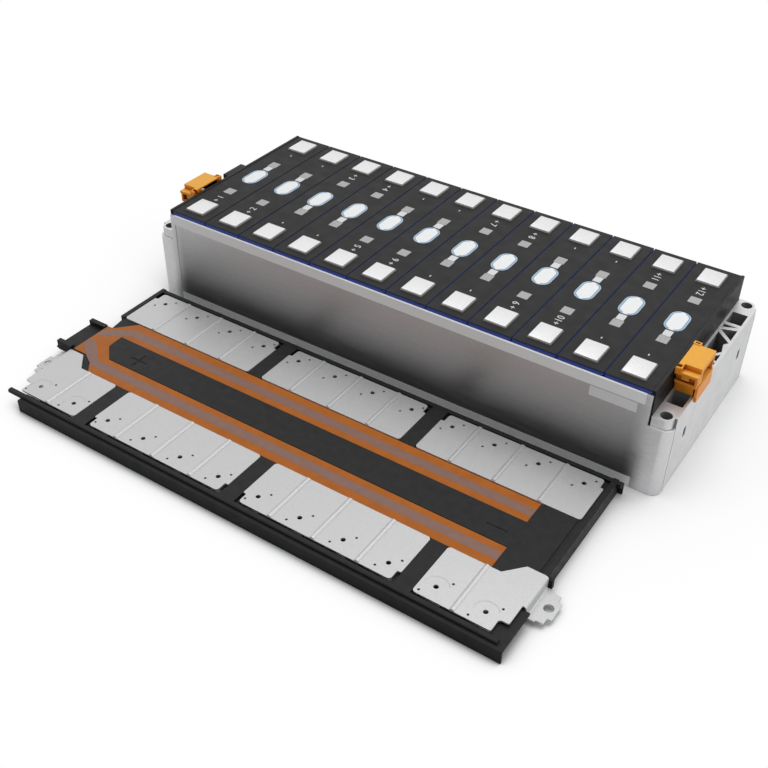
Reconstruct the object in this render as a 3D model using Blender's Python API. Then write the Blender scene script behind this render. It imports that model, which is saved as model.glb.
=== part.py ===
"""A battery module of twelve flat cells, with its tray of busbars lifted off and laid beside it.

Metres, +Z up. The module stands on z = 0 with its length along X. The origin is the middle of
its underside. The tray lies on the same surface, in front of the module, on its -Y side.
"""

import math

import bmesh
import bpy
from mathutils import Matrix, Vector

# Clearances
FIT = 0.0003                 # between pieces that touch on the real object
CELL_GAP = 0.0004            # between neighbouring cells

# Cells, in one row along X
CELL_COUNT = 12
CELL_THICK = 0.0446
CELL_DEPTH = 0.2200
CELL_HEIGHT = 0.1070
CELL_CORNER = 0.0020
TERMINAL_WIDE = 0.0220
TERMINAL_DEEP = 0.0255
TERMINAL_INSET = 0.0225      # from the narrow side of a cell to the middle of its terminal
TERMINAL_RISE = 0.0021       # above the black sheet
RIM_MARGIN = 0.0008          # the plastic rim shows this far round the terminal
RIM_RISE = 0.0009
VENT_WIDE = 0.0194
VENT_LONG = 0.0344
SHEET_THICK = 0.0006
FILM_THICK = 0.0006
SHEET_INSET = 0.0004         # the blue wrap shows this far round each black sheet

# Sheets and plates round the stack of cells
BASE_THICK = 0.0010
WALL_THICK = 0.0026          # black wall between the last cell and the end plate
WALL_RISE = 0.0006
SIDE_THICK = 0.0022
SIDE_DROP = 0.0030           # the side plate stops this far under the top of the cells
SIDE_BAND = 0.0110           # flat band along the upper and lower edge of a side plate
SIDE_DENT = 0.0006
WRAP_HEIGHT = 0.0740         # the side plate turns the corner of the end plate up to here
WRAP_REACH = 0.0105          # from the outside of the side plate to its joint on the end face
WRAP_RADIUS = 0.0090

# End plates
END_THICK = 0.0200
END_HEIGHT = 0.0837
END_WEB = 0.0026             # inner and outer wall of the lattice
BOLT_HOLE = 0.0110
BOLT_INSET = 0.0103          # from the outside of the side plate to the hole's axis
# Pockets between the ribs. Across: 0 at the inner wall, 1 at the outer. Along: 1 at the bolt hole.
POCKETS = (((0, 0.826), (0, 0.628), (1, 0.628), (1, 0.826)),
           ((0, 0.582), (0, 0.526), (0.94, 0.581)),
           ((0.03, 0.482), (1, 0.532), (1, 0.347)),
           ((0, 0.432), (0.99, 0.299), (0.76, 0.253), (0.95, 0.130), (0.65, 0.078), (0, 0.122)))
MIDDLE_POCKETS = (((0, 0.082), (0.70, 0.041), (1, 0.087), (1, -0.030), (0, 0.004)),
                  ((0, -0.024), (1, -0.060), (1, -0.096), (0.70, -0.068), (0, -0.090)))
EYE_WIDE = 0.0024
EYE_TALL = 0.0080
EYE_DEEP = 0.0020
EYE_HEIGHT = 0.0480
EYE_INSET = 0.0425           # from the outside of the side plate

# Orange terminal covers, one on each end plate
COVER_PLACE = 0.0480         # from the middle of the module, towards -Y
COVER_SIDE = 0.0090          # from the metal block inside to the outside of the cover
COVER_WALL = 0.0024
BASE_RISE = 0.0112
LID_RISE = 0.0177
APRON_THICK = 0.0020
APRON_DROP = 0.0060
LID_TOP = 0.0026
LID_STEP = 0.0055
SLOT_TALL = 0.0095
EAR_WIDE = 0.0055
EAR_THICK = 0.0036
NUT_WIDE = 0.0130
NUT_DEEP = 0.0180
NUT_RISE = 0.0140
NUT_BORE = 0.0060

# Socket for the sensing plug, on the left end plate
SOCKET_LONG = 0.0310
SOCKET_PLACE = 0.0022        # its middle lies this far from the middle of the module, to +Y
SOCKET_DEEP = 0.0095
SOCKET_RISE = 0.0185
SOCKET_WALL = 0.0020

# The tray, with its own middle as the reference
TRAY_AWAY = 0.0114           # free space between the module and the tray
TRAY_SHIFT = -0.0100
TRAY_TOP = 0.0170            # top of the busbars above the surface that the tray lies on
TRAY_PLATE = 0.0022
SKIRT_THICK = 0.0017
LEDGE_TOP = 0.0134           # lower level of the tray, along its rails and at one corner
LEDGE_WIDE = 0.0042          # from the outside of a rail to the outside of the skirt
STEP_IN = 0.0115             # the upper level ends this far inside the edge of the busbars
CORNER_STEP = 0.0020         # and this far inside the waist of the right outer busbar
SKIRT_RIGHT = 0.2755
SKIRT_LEFT = 0.2540
WALL_OUT = 0.2713            # outer faces of the end walls of the tray
END_WALL = 0.0050
RAIL_GAP = 0.0021            # between the busbars and the rails along both long sides
RAIL_THICK = 0.0046
RAIL_ROUND = 0.0015
RAIL_SHORT = 0.0065          # the near rail stops this far before the right end of its skirt
WALL_SHORT = 0.0030          # the end walls stop this far inside the skirts
LAND_DROP = 0.0007           # raised lands of the tray lie this far under the busbars
LAND_GROOVE = 0.0035         # between the middle land and the right wall
WINDOW_MARGIN = 0.0004       # a window is this much wider than the terminal below it, all round
SIGN_LONG = 0.0200
SIGN_THICK = 0.0016
SIGN_DEEP = 0.0006
SIGN_PLACE = 0.2000

# Busbars
BAR_THICK = 0.0015
BAR_IN = 0.0445
BAR_OVER = 0.0140            # from the middle of a terminal to the outer edge of its busbar
BAR_GAP = 0.0170             # between neighbouring busbars
BAR_CORNER = 0.0030
NOTCH_WIDE = 0.0035
NOTCH_LONG = 0.0110
BEAD_WIDE = 0.0050
BEAD_RISE = 0.0014
WELD_HOLE = 0.0046
SMALL_HOLE = 0.0026
SMALL_AWAY = 0.0080
OUTER_AWAY = 0.0100
FOLD_AT = 0.2690             # an outer busbar turns down here
FOLD_RADIUS = 0.0022         # to the middle of the sheet
FOLD_DROP = 0.0110
WAIST_AT = 0.2683
WAIST_DEEP = 0.0135          # the waist reaches this far in from the outer edge
WAIST_CUT = 0.0086
FLARE_IN = 0.0277            # inner edge of an outer busbar past its flare
FLARE_START = 0.2374
FLARE_END = 0.2522
TAB_HALF = 0.0180            # half the width of a tab where it starts
TAB_STEPS = ((0.2796, 0.0), (0.2865, 0.0018), (0.2903, 0.0082))  # reach, and shoulder
TAB_HOLE = 0.0090

# Flexible circuit
FLEX_THICK = 0.0004
FLEX_IN = 0.0176
FLEX_OUT = 0.0438
FLEX_END = 0.2280
FLEX_START = 0.2695
FLEX_MOUTH = 0.0240          # half its width where it enters the chute
HEAD_LONG = 0.0405           # the slanting side of its head ends this far from the chute
HEAD_BEND = 0.0245
CHUTE_REACH = 0.2925
CHUTE_WALL = 0.0050
CHUTE_FLOOR = 0.0020
CHUTE_DROP = 0.0055
CHUTE_LIP = 0.0025

PITCH = CELL_THICK + CELL_GAP
STACK = CELL_COUNT * PITCH - CELL_GAP
CELL_FLOOR = BASE_THICK + FIT
CELL_TOP = CELL_FLOOR + CELL_HEIGHT
SHEET_TOP = CELL_TOP + FIT + SHEET_THICK
TERMINAL_AT = CELL_DEPTH / 2 - TERMINAL_INSET
SIDE_IN = CELL_DEPTH / 2 + FIT
SIDE_OUT = SIDE_IN + SIDE_THICK
SIDE_TOP = CELL_TOP - SIDE_DROP
WALL_IN = STACK / 2 + FIT
END_IN = WALL_IN + WALL_THICK + FIT
END_OUT = END_IN + END_THICK
END_MIDDLE = END_IN + END_THICK / 2
BOLT_AT = SIDE_OUT - BOLT_INSET
EYE_PLACE = SIDE_OUT - EYE_INSET
BASE_FLOOR = END_HEIGHT + FIT
LID_FLOOR = BASE_FLOOR + BASE_RISE + FIT
BAR_OUT = TERMINAL_AT + BAR_OVER
WAIST_FROM = BAR_OUT - WAIST_DEEP
STEP_AT = BAR_OUT - STEP_IN
RAIL_IN = BAR_OUT + RAIL_GAP
TRAY_HALF = RAIL_IN + RAIL_THICK + LEDGE_WIDE  # half the width of the tray over its skirts
RAIL_OUT = TRAY_HALF - WALL_SHORT
TRAY_AT = Vector((TRAY_SHIFT, -(SIDE_OUT + TRAY_AWAY + TRAY_HALF), 0.0))
BAR_FLOOR = TRAY_TOP - BAR_THICK
PLATE_TOP = BAR_FLOOR - FIT
PLATE_FLOOR = PLATE_TOP - TRAY_PLATE
LAND_TOP = TRAY_TOP - LAND_DROP
WALL_FACE = WALL_OUT - END_WALL
LEDGE_FLOOR = LEDGE_TOP - TRAY_PLATE
FOLD_LENGTH = FOLD_RADIUS * (math.pi - 2) + FOLD_DROP  # along the sheet, through both bends
TAB_FROM = COVER_PLACE + TAB_HALF
CORNER_AT = WAIST_AT - WAIST_CUT - CORNER_STEP
COVER_WIDE = NUT_DEEP + 2 * COVER_SIDE

COLOURS = {
    "blue_wrap": ((0.016, 0.040, 0.205), 0.45, 0.0),
    "black_sheet": ((0.040, 0.040, 0.039), 0.60, 0.0),
    "vent_white": ((0.860, 0.900, 0.930), 0.50, 0.0),
    "cast_aluminium": ((0.680, 0.690, 0.700), 0.40, 1.0),
    "side_aluminium": ((0.600, 0.605, 0.610), 0.35, 1.0),
    "busbar_aluminium": ((0.720, 0.725, 0.730), 0.38, 1.0),
    "orange_plastic": ((0.830, 0.330, 0.045), 0.45, 0.0),
    "black_plastic": ((0.032, 0.032, 0.032), 0.50, 0.0),
    "nut_steel": ((0.500, 0.520, 0.540), 0.35, 1.0),
    "flex_orange": ((0.450, 0.120, 0.025), 0.45, 0.0),
}


def start():
    """Clear the scene and give the two collections: the pieces, and what cuts or joins them."""
    for thing in list(bpy.data.objects):
        bpy.data.objects.remove(thing)
    groups = []
    for name in ("battery_module", "tools"):
        group = bpy.data.collections.new(name)
        bpy.context.scene.collection.children.link(group)
        groups.append(group)
    return groups


def material(name):
    colour, roughness, metallic = COLOURS[name]
    made = bpy.data.materials.get(name) or bpy.data.materials.new(name)
    made.use_nodes = True
    shader = made.node_tree.nodes["Principled BSDF"]
    shader.inputs["Base Color"].default_value = (*colour, 1)
    shader.inputs["Roughness"].default_value = roughness
    shader.inputs["Metallic"].default_value = metallic
    return made


def piece(name, mesh):
    """A new object. Its points are rounded, so that faces meant to share a plane do share it."""
    for vertex in mesh.vertices:
        vertex.co = [round(value, 7) for value in vertex.co]
    made = bpy.data.objects.new(name, mesh)
    PIECES.objects.link(made)
    return made


def circle(x, y, diameter, steps):
    """Points on a circle, for an outline or a hole."""
    turn = 2 * math.pi / steps
    return [(x + diameter / 2 * math.cos(k * turn), y + diameter / 2 * math.sin(k * turn))
            for k in range(steps)]


def rounded(points, radii, steps=3):
    """An outline with each corner turned by an arc. A radius of nothing leaves a corner sharp."""
    if not isinstance(radii, (list, tuple)):
        radii = [radii] * len(points)
    turned = []
    for k, (point, radius) in enumerate(zip(points, radii)):
        corner = Vector(point)
        if not radius:
            turned.append(tuple(corner))
            continue
        back = (Vector(points[k - 1]) - corner).normalized()
        on = (Vector(points[(k + 1) % len(points)]) - corner).normalized()
        half = back.angle(on) / 2
        middle = corner + (back + on).normalized() * radius / math.sin(half)
        first = corner + back * radius / math.tan(half) - middle
        last = corner + on * radius / math.tan(half) - middle
        sweep = first.angle_signed(last)
        for step in range(steps + 1):
            spoke = first.copy()
            spoke.rotate(Matrix.Rotation(-sweep * step / steps, 2))
            turned.append(tuple(middle + spoke))
    return turned


def rectangle(x0, x1, y0, y1):
    return [(x0, y0), (x1, y0), (x1, y1), (x0, y1)]


def plate(name, outline, z0, z1):
    """A flat outline, drawn as a 2D curve and raised from z0 to z1.

    It is drawn at a slant and turned back, because the fill of a curve can miss level edges.
    """
    slant = Matrix.Rotation(0.37, 4, "Z")
    curve = bpy.data.curves.new(name, "CURVE")
    curve.dimensions = "2D"
    curve.fill_mode = "BOTH"
    curve.extrude = (z1 - z0) / 2
    spline = curve.splines.new("POLY")
    spline.points.add(len(outline) - 1)
    for spot, (x, y) in zip(spline.points, outline):
        spot.co = (*(slant @ Vector((x, y, 0))), 1)
    spline.use_cyclic_u = True
    drawn = bpy.data.objects.new(name, curve)
    drawn.matrix_world = Matrix.Translation((0, 0, (z0 + z1) / 2)) @ slant.inverted()
    PIECES.objects.link(drawn)
    bpy.context.view_layer.update()
    view = bpy.context.evaluated_depsgraph_get()
    mesh = bpy.data.meshes.new_from_object(drawn.evaluated_get(view))
    mesh.transform(drawn.matrix_world)
    bpy.data.objects.remove(drawn)
    bpy.data.curves.remove(curve)
    weld(mesh)
    return piece(name, mesh)


def weld(mesh):
    work = bmesh.new()
    work.from_mesh(mesh)
    bmesh.ops.remove_doubles(work, verts=work.verts, dist=1e-6)
    bmesh.ops.dissolve_limit(work, angle_limit=1e-4, verts=work.verts, edges=work.edges)
    bmesh.ops.recalc_face_normals(work, faces=work.faces)
    work.to_mesh(mesh)
    work.free()


def along_x(name, profile, x0, x1):
    """A profile given as (y, z), drawn out from x0 to x1."""
    made = plate(name, profile, x0, x1)
    made.data.transform(Matrix(((0, 0, 1, 0), (1, 0, 0, 0), (0, 1, 0, 0), (0, 0, 0, 1))))
    return made


def along_y(name, profile, y0, y1):
    """A profile given as (x, z), drawn out from y0 to y1."""
    made = plate(name, profile, -y1, -y0)
    made.data.transform(Matrix(((1, 0, 0, 0), (0, 0, -1, 0), (0, 1, 0, 0), (0, 0, 0, 1))))
    return made


def box(name, x0, x1, y0, y1, z0, z1):
    work = bmesh.new()
    bmesh.ops.create_cube(work, size=1)
    sizes = Vector((x1 - x0, y1 - y0, z1 - z0))
    middle = Vector((x0 + x1, y0 + y1, z0 + z1)) / 2
    bmesh.ops.transform(work, matrix=Matrix.Translation(middle) @ Matrix.Diagonal((*sizes, 1)),
                        verts=work.verts)
    mesh = bpy.data.meshes.new(name)
    work.to_mesh(mesh)
    work.free()
    return piece(name, mesh)


def peg(name, x, y, diameter, z0, z1, steps):
    """An upright cylinder."""
    work = bmesh.new()
    bmesh.ops.create_cone(work, cap_ends=True, segments=steps, radius1=diameter / 2,
                          radius2=diameter / 2, depth=z1 - z0)
    bmesh.ops.translate(work, verts=work.verts, vec=(x, y, (z0 + z1) / 2))
    mesh = bpy.data.meshes.new(name)
    work.to_mesh(mesh)
    work.free()
    return piece(name, mesh)


def as_one(name, parts):
    """Several tools that stay clear of each other, kept as one object."""
    work = bmesh.new()
    for part in parts:
        work.from_mesh(part.data)
    mesh = bpy.data.meshes.new(name)
    work.to_mesh(mesh)
    work.free()
    for part in parts:
        bpy.data.objects.remove(part)
    return piece(name, mesh)


def apply_tool(part, tool, operation):
    modifier = part.modifiers.new(tool.name, "BOOLEAN")
    modifier.operation = operation
    modifier.solver = "EXACT"
    modifier.object = tool
    PIECES.objects.unlink(tool)
    TOOLS.objects.link(tool)
    tool.hide_render = True
    tool.display_type = "WIRE"


def cut(part, tool):
    apply_tool(part, tool, "DIFFERENCE")


def join(part, tool):
    apply_tool(part, tool, "UNION")


def drill(part, outlines, z0, z1):
    """Cut every outline of a list straight through a piece that lies between z0 and z1."""
    reach = FIT * 10
    tools = [plate("hole", outline, z0 - reach, z1 + reach) for outline in outlines]
    cut(part, as_one(part.name + "_holes", tools))


def shaped_mesh(part):
    """The mesh of a piece as its modifiers leave it, and the piece and its tools put away."""
    bpy.context.view_layer.update()
    view = bpy.context.evaluated_depsgraph_get()
    mesh = bpy.data.meshes.new_from_object(part.evaluated_get(view))
    for modifier in list(part.modifiers):
        bpy.data.objects.remove(modifier.object)
    bpy.data.objects.remove(part)
    weld(mesh)
    return mesh


def mirrored(mesh, axis):
    """The same mesh on the other side of the module."""
    work = bmesh.new()
    work.from_mesh(mesh)
    flip = Vector((1, 1, 1))
    flip[axis] = -1
    bmesh.ops.scale(work, vec=flip, verts=work.verts)
    bmesh.ops.reverse_faces(work, faces=work.faces)
    made = bpy.data.meshes.new(mesh.name + "_mirrored")
    work.to_mesh(made)
    work.free()
    return made


def dress(part, finish):
    part.data.materials.clear()
    part.data.materials.append(material(finish))
    return part


def in_row(name, mesh, finish):
    """One copy of a mesh for each cell, numbered from the left."""
    for number in range(CELL_COUNT):
        copy = dress(piece(f"{name}_{number + 1:02d}", mesh), finish)
        copy.location.x = cell_x(number)


def cell_x(number):
    return (number - (CELL_COUNT - 1) / 2) * PITCH


def terminal_outline(side, margin=0.0):
    wide = TERMINAL_WIDE / 2 + margin
    deep = TERMINAL_DEEP / 2 + margin
    middle = side * TERMINAL_AT
    return rectangle(-wide, wide, middle - deep, middle + deep)


def vent_outline(margin=0.0):
    wide = VENT_WIDE / 2 + margin
    long = VENT_LONG / 2 + margin
    return rounded(rectangle(-wide, wide, -long, long), wide * 0.999, 4)


def cells():
    """Flat cans in blue wrap. Each has a terminal at either end of its top, on a plastic rim."""
    half = CELL_THICK / 2
    body = rounded(rectangle(-half, half, -CELL_DEPTH / 2, CELL_DEPTH / 2), CELL_CORNER, 3)
    can = plate("can", body, CELL_FLOOR, CELL_TOP)
    root = CELL_TOP - 0.001
    rims = [plate("rim", terminal_outline(side, RIM_MARGIN), root, SHEET_TOP + RIM_RISE)
            for side in (-1, 1)]
    pads = [plate("pad", terminal_outline(side), root, SHEET_TOP + TERMINAL_RISE)
            for side in (-1, 1)]
    join(can, as_one("rims", rims))
    join(can, as_one("pads", pads))
    in_row("cell", shaped_mesh(can), "blue_wrap")


def top_sheets():
    """Thin black sheets on the cells, open at the terminals and at the vent."""
    wide = CELL_THICK / 2 - SHEET_INSET
    deep = CELL_DEPTH / 2 - SHEET_INSET
    holes = [terminal_outline(side, RIM_MARGIN + FIT) for side in (-1, 1)]
    holes.append(vent_outline(FIT))
    sheet = plate("sheet", rectangle(-wide, wide, -deep, deep), CELL_TOP + FIT, SHEET_TOP)
    drill(sheet, holes, CELL_TOP, SHEET_TOP)
    in_row("top_sheet", shaped_mesh(sheet), "black_sheet")


def vent_films():
    film = plate("film", vent_outline(), CELL_TOP + FIT, CELL_TOP + FIT + FILM_THICK)
    in_row("vent_film", shaped_mesh(film), "vent_white")


def bottom_sheet():
    half = WALL_IN + WALL_THICK
    sheet = box("bottom_sheet", -half, half, -CELL_DEPTH / 2, CELL_DEPTH / 2, 0, BASE_THICK)
    dress(sheet, "black_sheet")


def end_walls():
    """Black walls beside the last cells, a little above them, with a lip over the cell's edge."""
    for side, name in ((-1, "end_wall_left"), (1, "end_wall_right")):
        faces = sorted((side * WALL_IN, side * (WALL_IN + WALL_THICK)))
        top = SHEET_TOP + WALL_RISE
        wall = box(name, *faces, -CELL_DEPTH / 2, CELL_DEPTH / 2, CELL_FLOOR, top)
        lip = sorted((side * (STACK / 2 - SHEET_INSET + FIT), side * (WALL_IN + WALL_THICK / 2)))
        join(wall, box("lip", *lip, -CELL_DEPTH / 2, CELL_DEPTH / 2, CELL_TOP + FIT, top))
        dress(wall, "black_plastic")


def wrap_outline(outward, end):
    """The corner of a side plate in plan, from its joint on the end face to the other end's."""
    radius = WRAP_RADIUS - outward
    out = SIDE_OUT - outward
    far = END_OUT - outward
    joint = SIDE_OUT - WRAP_REACH
    corners = [(far, -joint), (far, -out), (-far, -out), (-far, -joint)]
    arcs = rounded(corners, [0, radius, radius, 0], 6)
    return arcs if end else arcs[::-1]


def side_plates():
    """Bent sheet along each long side, which turns round the end plates at its lower part."""
    sheet = plate("side", wrap_outline(0, True) + wrap_outline(SIDE_THICK, False), 0, WRAP_HEIGHT)
    half = WALL_IN + WALL_THICK / 2
    join(sheet, box("upper", -half, half, -SIDE_OUT, -SIDE_IN, WRAP_HEIGHT - 0.004, SIDE_TOP))
    dent = half - SIDE_BAND / 2
    cut(sheet, box("dent", -dent, dent, -SIDE_OUT - 0.01, -SIDE_OUT + SIDE_DENT,
                   SIDE_BAND, SIDE_TOP - SIDE_BAND))
    near = shaped_mesh(sheet)
    dress(piece("side_plate_near", near), "side_aluminium")
    dress(piece("side_plate_far", mirrored(near, 1)), "side_aluminium")


def lattice():
    """Outlines of the pockets in an end plate, between its slanting ribs."""
    inner = END_IN + END_WEB
    across = END_THICK - 2 * END_WEB
    mirror = [[(u, -v) for u, v in pocket] for pocket in POCKETS]
    return [[(inner + u * across, v * BOLT_AT) for u, v in pocket]
            for pocket in (*POCKETS, *mirror, *MIDDLE_POCKETS)]


def end_plates():
    """Cast end plates. Slanting ribs leave a lattice of pockets between two bolt holes."""
    body = rounded(rectangle(END_IN, END_OUT, -SIDE_OUT, SIDE_OUT),
                   [0, WRAP_RADIUS, WRAP_RADIUS, 0], 6)
    bolts = [circle(END_MIDDLE, side * BOLT_AT, BOLT_HOLE, 20) for side in (-1, 1)]
    casting = plate("casting", body, 0, END_HEIGHT)
    drill(casting, bolts + lattice(), 0, END_HEIGHT)
    thick = SIDE_THICK + FIT
    joint = -SIDE_OUT + WRAP_REACH + FIT
    past = END_THICK / 2
    far = END_OUT + past
    rebate = [(far, joint), (END_OUT - thick, joint), (END_OUT - thick, -SIDE_OUT + thick),
              (END_IN - past, -SIDE_OUT + thick), (END_IN - past, -SIDE_OUT - past),
              (far, -SIDE_OUT - past)]
    near = plate("rebate", rounded(rebate, [0, 0, WRAP_RADIUS - thick, 0, 0, 0], 6), -past,
                 END_HEIGHT + past)
    cut(casting, as_one("rebates", [near, piece("rebate_far", mirrored(near.data, 1))]))
    eyes = [box("eye", END_OUT - EYE_DEEP, END_OUT + 0.01, side * EYE_PLACE - EYE_WIDE / 2,
                side * EYE_PLACE + EYE_WIDE / 2, EYE_HEIGHT - EYE_TALL / 2,
                EYE_HEIGHT + EYE_TALL / 2) for side in (-1, 1)]
    cut(casting, as_one("eyes", eyes))
    right = shaped_mesh(casting)
    dress(piece("end_plate_right", right), "cast_aluminium")
    dress(piece("end_plate_left", mirrored(right, 0)), "cast_aluminium")


def both_ends(name, part, finish):
    mesh = shaped_mesh(part)
    dress(piece(name + "_right", mesh), finish)
    dress(piece(name + "_left", mirrored(mesh, 0)), finish)


def cover_bases():
    """The lower half of a terminal cover. It sits on the end plate and hooks over its edge."""
    y0 = -COVER_PLACE - COVER_WIDE / 2
    y1 = -COVER_PLACE + COVER_WIDE / 2
    inner = END_IN + FIT * 4
    outer = END_OUT + FIT + APRON_THICK
    top = BASE_FLOOR + BASE_RISE
    block = box("cover_base", inner, outer, y0, y1, BASE_FLOOR, top)
    join(block, box("apron", END_OUT + FIT, outer, y0 + 0.002, y1 + 0.002,
                    END_HEIGHT - APRON_DROP, BASE_FLOOR + 0.002))
    well = (END_MIDDLE - NUT_WIDE / 2 - FIT, END_MIDDLE + NUT_WIDE / 2 + FIT,
            -COVER_PLACE - NUT_DEEP / 2 - FIT, -COVER_PLACE + NUT_DEEP / 2 + FIT)
    cut(block, box("well", *well, BASE_FLOOR + COVER_WALL, top + 0.01))
    middle = BASE_FLOOR + BASE_RISE / 2
    cut(block, box("groove", inner - 0.01, END_OUT, y0 - 0.01, y0 + 0.0012,
                   middle - 0.001, middle + 0.001))
    both_ends("cover_base", block, "orange_plastic")


def cover_lids():
    """The upper half of a terminal cover: hollow, open below and to the outside, with two ears."""
    y0 = -COVER_PLACE - COVER_WIDE / 2
    y1 = -COVER_PLACE + COVER_WIDE / 2
    inner = END_IN + FIT * 4
    outer = END_OUT + FIT + APRON_THICK * 0.6
    top = LID_FLOOR + LID_RISE
    lid = box("cover_lid", inner, outer, y0, y1, LID_FLOOR, top)
    ledge = y0 + LID_STEP
    hollow = (-COVER_PLACE - NUT_DEEP / 2 - FIT * 4, y1 - COVER_WALL)
    roof = top - LID_TOP
    cut(lid, box("hollow", END_MIDDLE - NUT_WIDE / 2 - FIT * 2, outer - COVER_WALL, *hollow,
                 LID_FLOOR - 0.01, roof))
    cut(lid, box("slot", outer - COVER_WALL - 0.001, outer + 0.01, *hollow,
                 roof - SLOT_TALL, roof - COVER_WALL / 2))
    cut(lid, box("step", inner + COVER_WALL * 2, outer - COVER_WALL / 2, y0 - 0.01, ledge,
                 top - LID_STEP, top + 0.01))
    rise = LID_RISE * 0.5
    ears = [box("ear", inner - FIT * 2, inner + EAR_THICK, y1 - 0.001, y1 + EAR_WIDE,
                top - rise, top + 0.0006),
            box("ear", inner - FIT * 2, inner + EAR_THICK, y0 - EAR_WIDE, y0 + 0.001,
                top - rise - 0.004, top - 0.001)]
    join(lid, as_one("ears", ears))
    join(lid, box("clip", inner + 0.0050, outer - 0.0045, y0 - 0.0016, y0 + 0.001,
                  LID_FLOOR + 0.001, LID_FLOOR + LID_RISE * 0.35))
    both_ends("cover_lid", lid, "orange_plastic")


def terminal_nuts():
    """The metal block in a cover that the pack's cable is bolted to."""
    floor = BASE_FLOOR + COVER_WALL + FIT
    nut = box("terminal_nut", END_MIDDLE - NUT_WIDE / 2, END_MIDDLE + NUT_WIDE / 2,
              -COVER_PLACE - NUT_DEEP / 2, -COVER_PLACE + NUT_DEEP / 2, floor, floor + NUT_RISE)
    cut(nut, peg("bore", END_MIDDLE, -COVER_PLACE, NUT_BORE, floor + NUT_RISE / 3,
                 floor + NUT_RISE + 0.01, 12))
    both_ends("terminal_nut", nut, "nut_steel")


def sensing_socket():
    """Black socket behind the left end of the cells, open to the outside for its plug."""
    y0 = SOCKET_PLACE - SOCKET_LONG / 2
    y1 = SOCKET_PLACE + SOCKET_LONG / 2
    inner = END_IN + FIT
    outer = inner + SOCKET_DEEP
    floor = BASE_FLOOR
    shell = box("sensing_socket", -outer, -inner, y0, y1, floor, floor + SOCKET_RISE)
    cut(shell, box("mouth", -outer - 0.01, -inner - SOCKET_DEEP / 3, y0 + SOCKET_WALL,
                   y1 - SOCKET_WALL, floor + SOCKET_WALL, floor + SOCKET_RISE * 0.55))
    dress(shell, "black_plastic")


def bar_ends(first, last, count):
    """The X extent of a busbar over the cells first to last, in a row of count cells."""
    left = cell_x(first) - PITCH / 2
    right = cell_x(last) + PITCH / 2
    edge = WALL_FACE - FIT * 5
    left = -edge if first == 0 else left + BAR_GAP / 2
    right = edge if last == count - 1 else right - BAR_GAP / 2
    return left, right


def hole_set(number, side, away, lean=1):
    """The weld hole over one terminal and the two small ones beside it."""
    x = cell_x(number)
    y = side * TERMINAL_AT
    return [circle(x, y, WELD_HOLE, 10), circle(x - lean * away, y - away, SMALL_HOLE, 6),
            circle(x + lean * away, y + away, SMALL_HOLE, 6)]


def beads(first, last, y0, y1):
    """Half-round stiffening beads, one over each joint between two cells."""
    half = BEAD_WIDE / 2
    sunk = BAR_THICK / 4
    made = []
    for number in range(first, last):
        x = cell_x(number) + PITCH / 2
        arch = [(x + half * math.cos(math.pi * k / 6),
                 TRAY_TOP - sunk + (BEAD_RISE + sunk) * math.sin(math.pi * k / 6))
                for k in range(7)]
        made.append(along_y("bead", arch, y0 + 0.0004, y1 - 0.0004))
    return as_one("beads", made)


def on_tray(part, name, finish):
    part.name = name
    part.location = TRAY_AT
    for modifier in part.modifiers:
        modifier.object.location = TRAY_AT
    return dress(part, finish)


def busbar(name, first, last, side):
    """A flat busbar that joins the terminals of several cells, with a notch at each outer corner."""
    left, right = bar_ends(first, last, CELL_COUNT)
    step = BAR_OUT - NOTCH_LONG
    points = [(left, BAR_IN), (right, BAR_IN), (right, step), (right - NOTCH_WIDE, step),
              (right - NOTCH_WIDE, BAR_OUT), (left + NOTCH_WIDE, BAR_OUT),
              (left + NOTCH_WIDE, step), (left, step)]
    turns = [BAR_CORNER, BAR_CORNER, 0.001, 0.001, BAR_CORNER, BAR_CORNER, 0.001, 0.001]
    outline = [(x, side * y) for x, y in rounded(points, turns)]
    holes = [hole for number in range(first, last + 1)
             for hole in hole_set(number, side, SMALL_AWAY)]
    bar = plate(name, outline, BAR_FLOOR, TRAY_TOP)
    drill(bar, holes, BAR_FLOOR, TRAY_TOP)
    join(bar, beads(first, last, *sorted((side * BAR_IN, side * BAR_OUT))))
    on_tray(bar, name, "busbar_aluminium")


def unfolded(x):
    """Where a point of the tab lies on the flat pattern of its busbar, before it is folded."""
    return x + FOLD_LENGTH - 2 * FOLD_RADIUS


def folded(mesh):
    """Fold a flat pattern down over one edge and out again, at an even sheet thickness."""
    middle = TRAY_TOP - BAR_THICK / 2
    straight = FOLD_DROP - 2 * FOLD_RADIUS
    arc = FOLD_RADIUS * math.pi / 2
    work = bmesh.new()
    work.from_mesh(mesh)
    bends = [arc * k / 3 for k in range(4)]
    for along in bends + [arc + straight + bend for bend in bends]:
        bmesh.ops.bisect_plane(work, geom=work.verts[:] + work.edges[:] + work.faces[:],
                               plane_co=(FOLD_AT + along, 0, 0), plane_no=(1, 0, 0), dist=1e-6)
    for vertex in work.verts:
        along = vertex.co.x - FOLD_AT
        above = vertex.co.z - middle
        if along <= 0:
            continue
        first = min(along, arc) / FOLD_RADIUS
        last = min(max(along - arc - straight, 0), arc) / FOLD_RADIUS
        down = min(max(along - arc, 0), straight)
        out = max(along - FOLD_LENGTH, 0)
        x = FOLD_AT + FOLD_RADIUS * (math.sin(first) + 1 - math.cos(last)) + out
        z = middle - FOLD_RADIUS * (1 - math.cos(first) + math.sin(last)) - down
        lean = first - last
        vertex.co.x = x + above * math.sin(lean)
        vertex.co.z = z + above * math.cos(lean)
    work.to_mesh(mesh)
    work.free()
    return mesh


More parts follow.
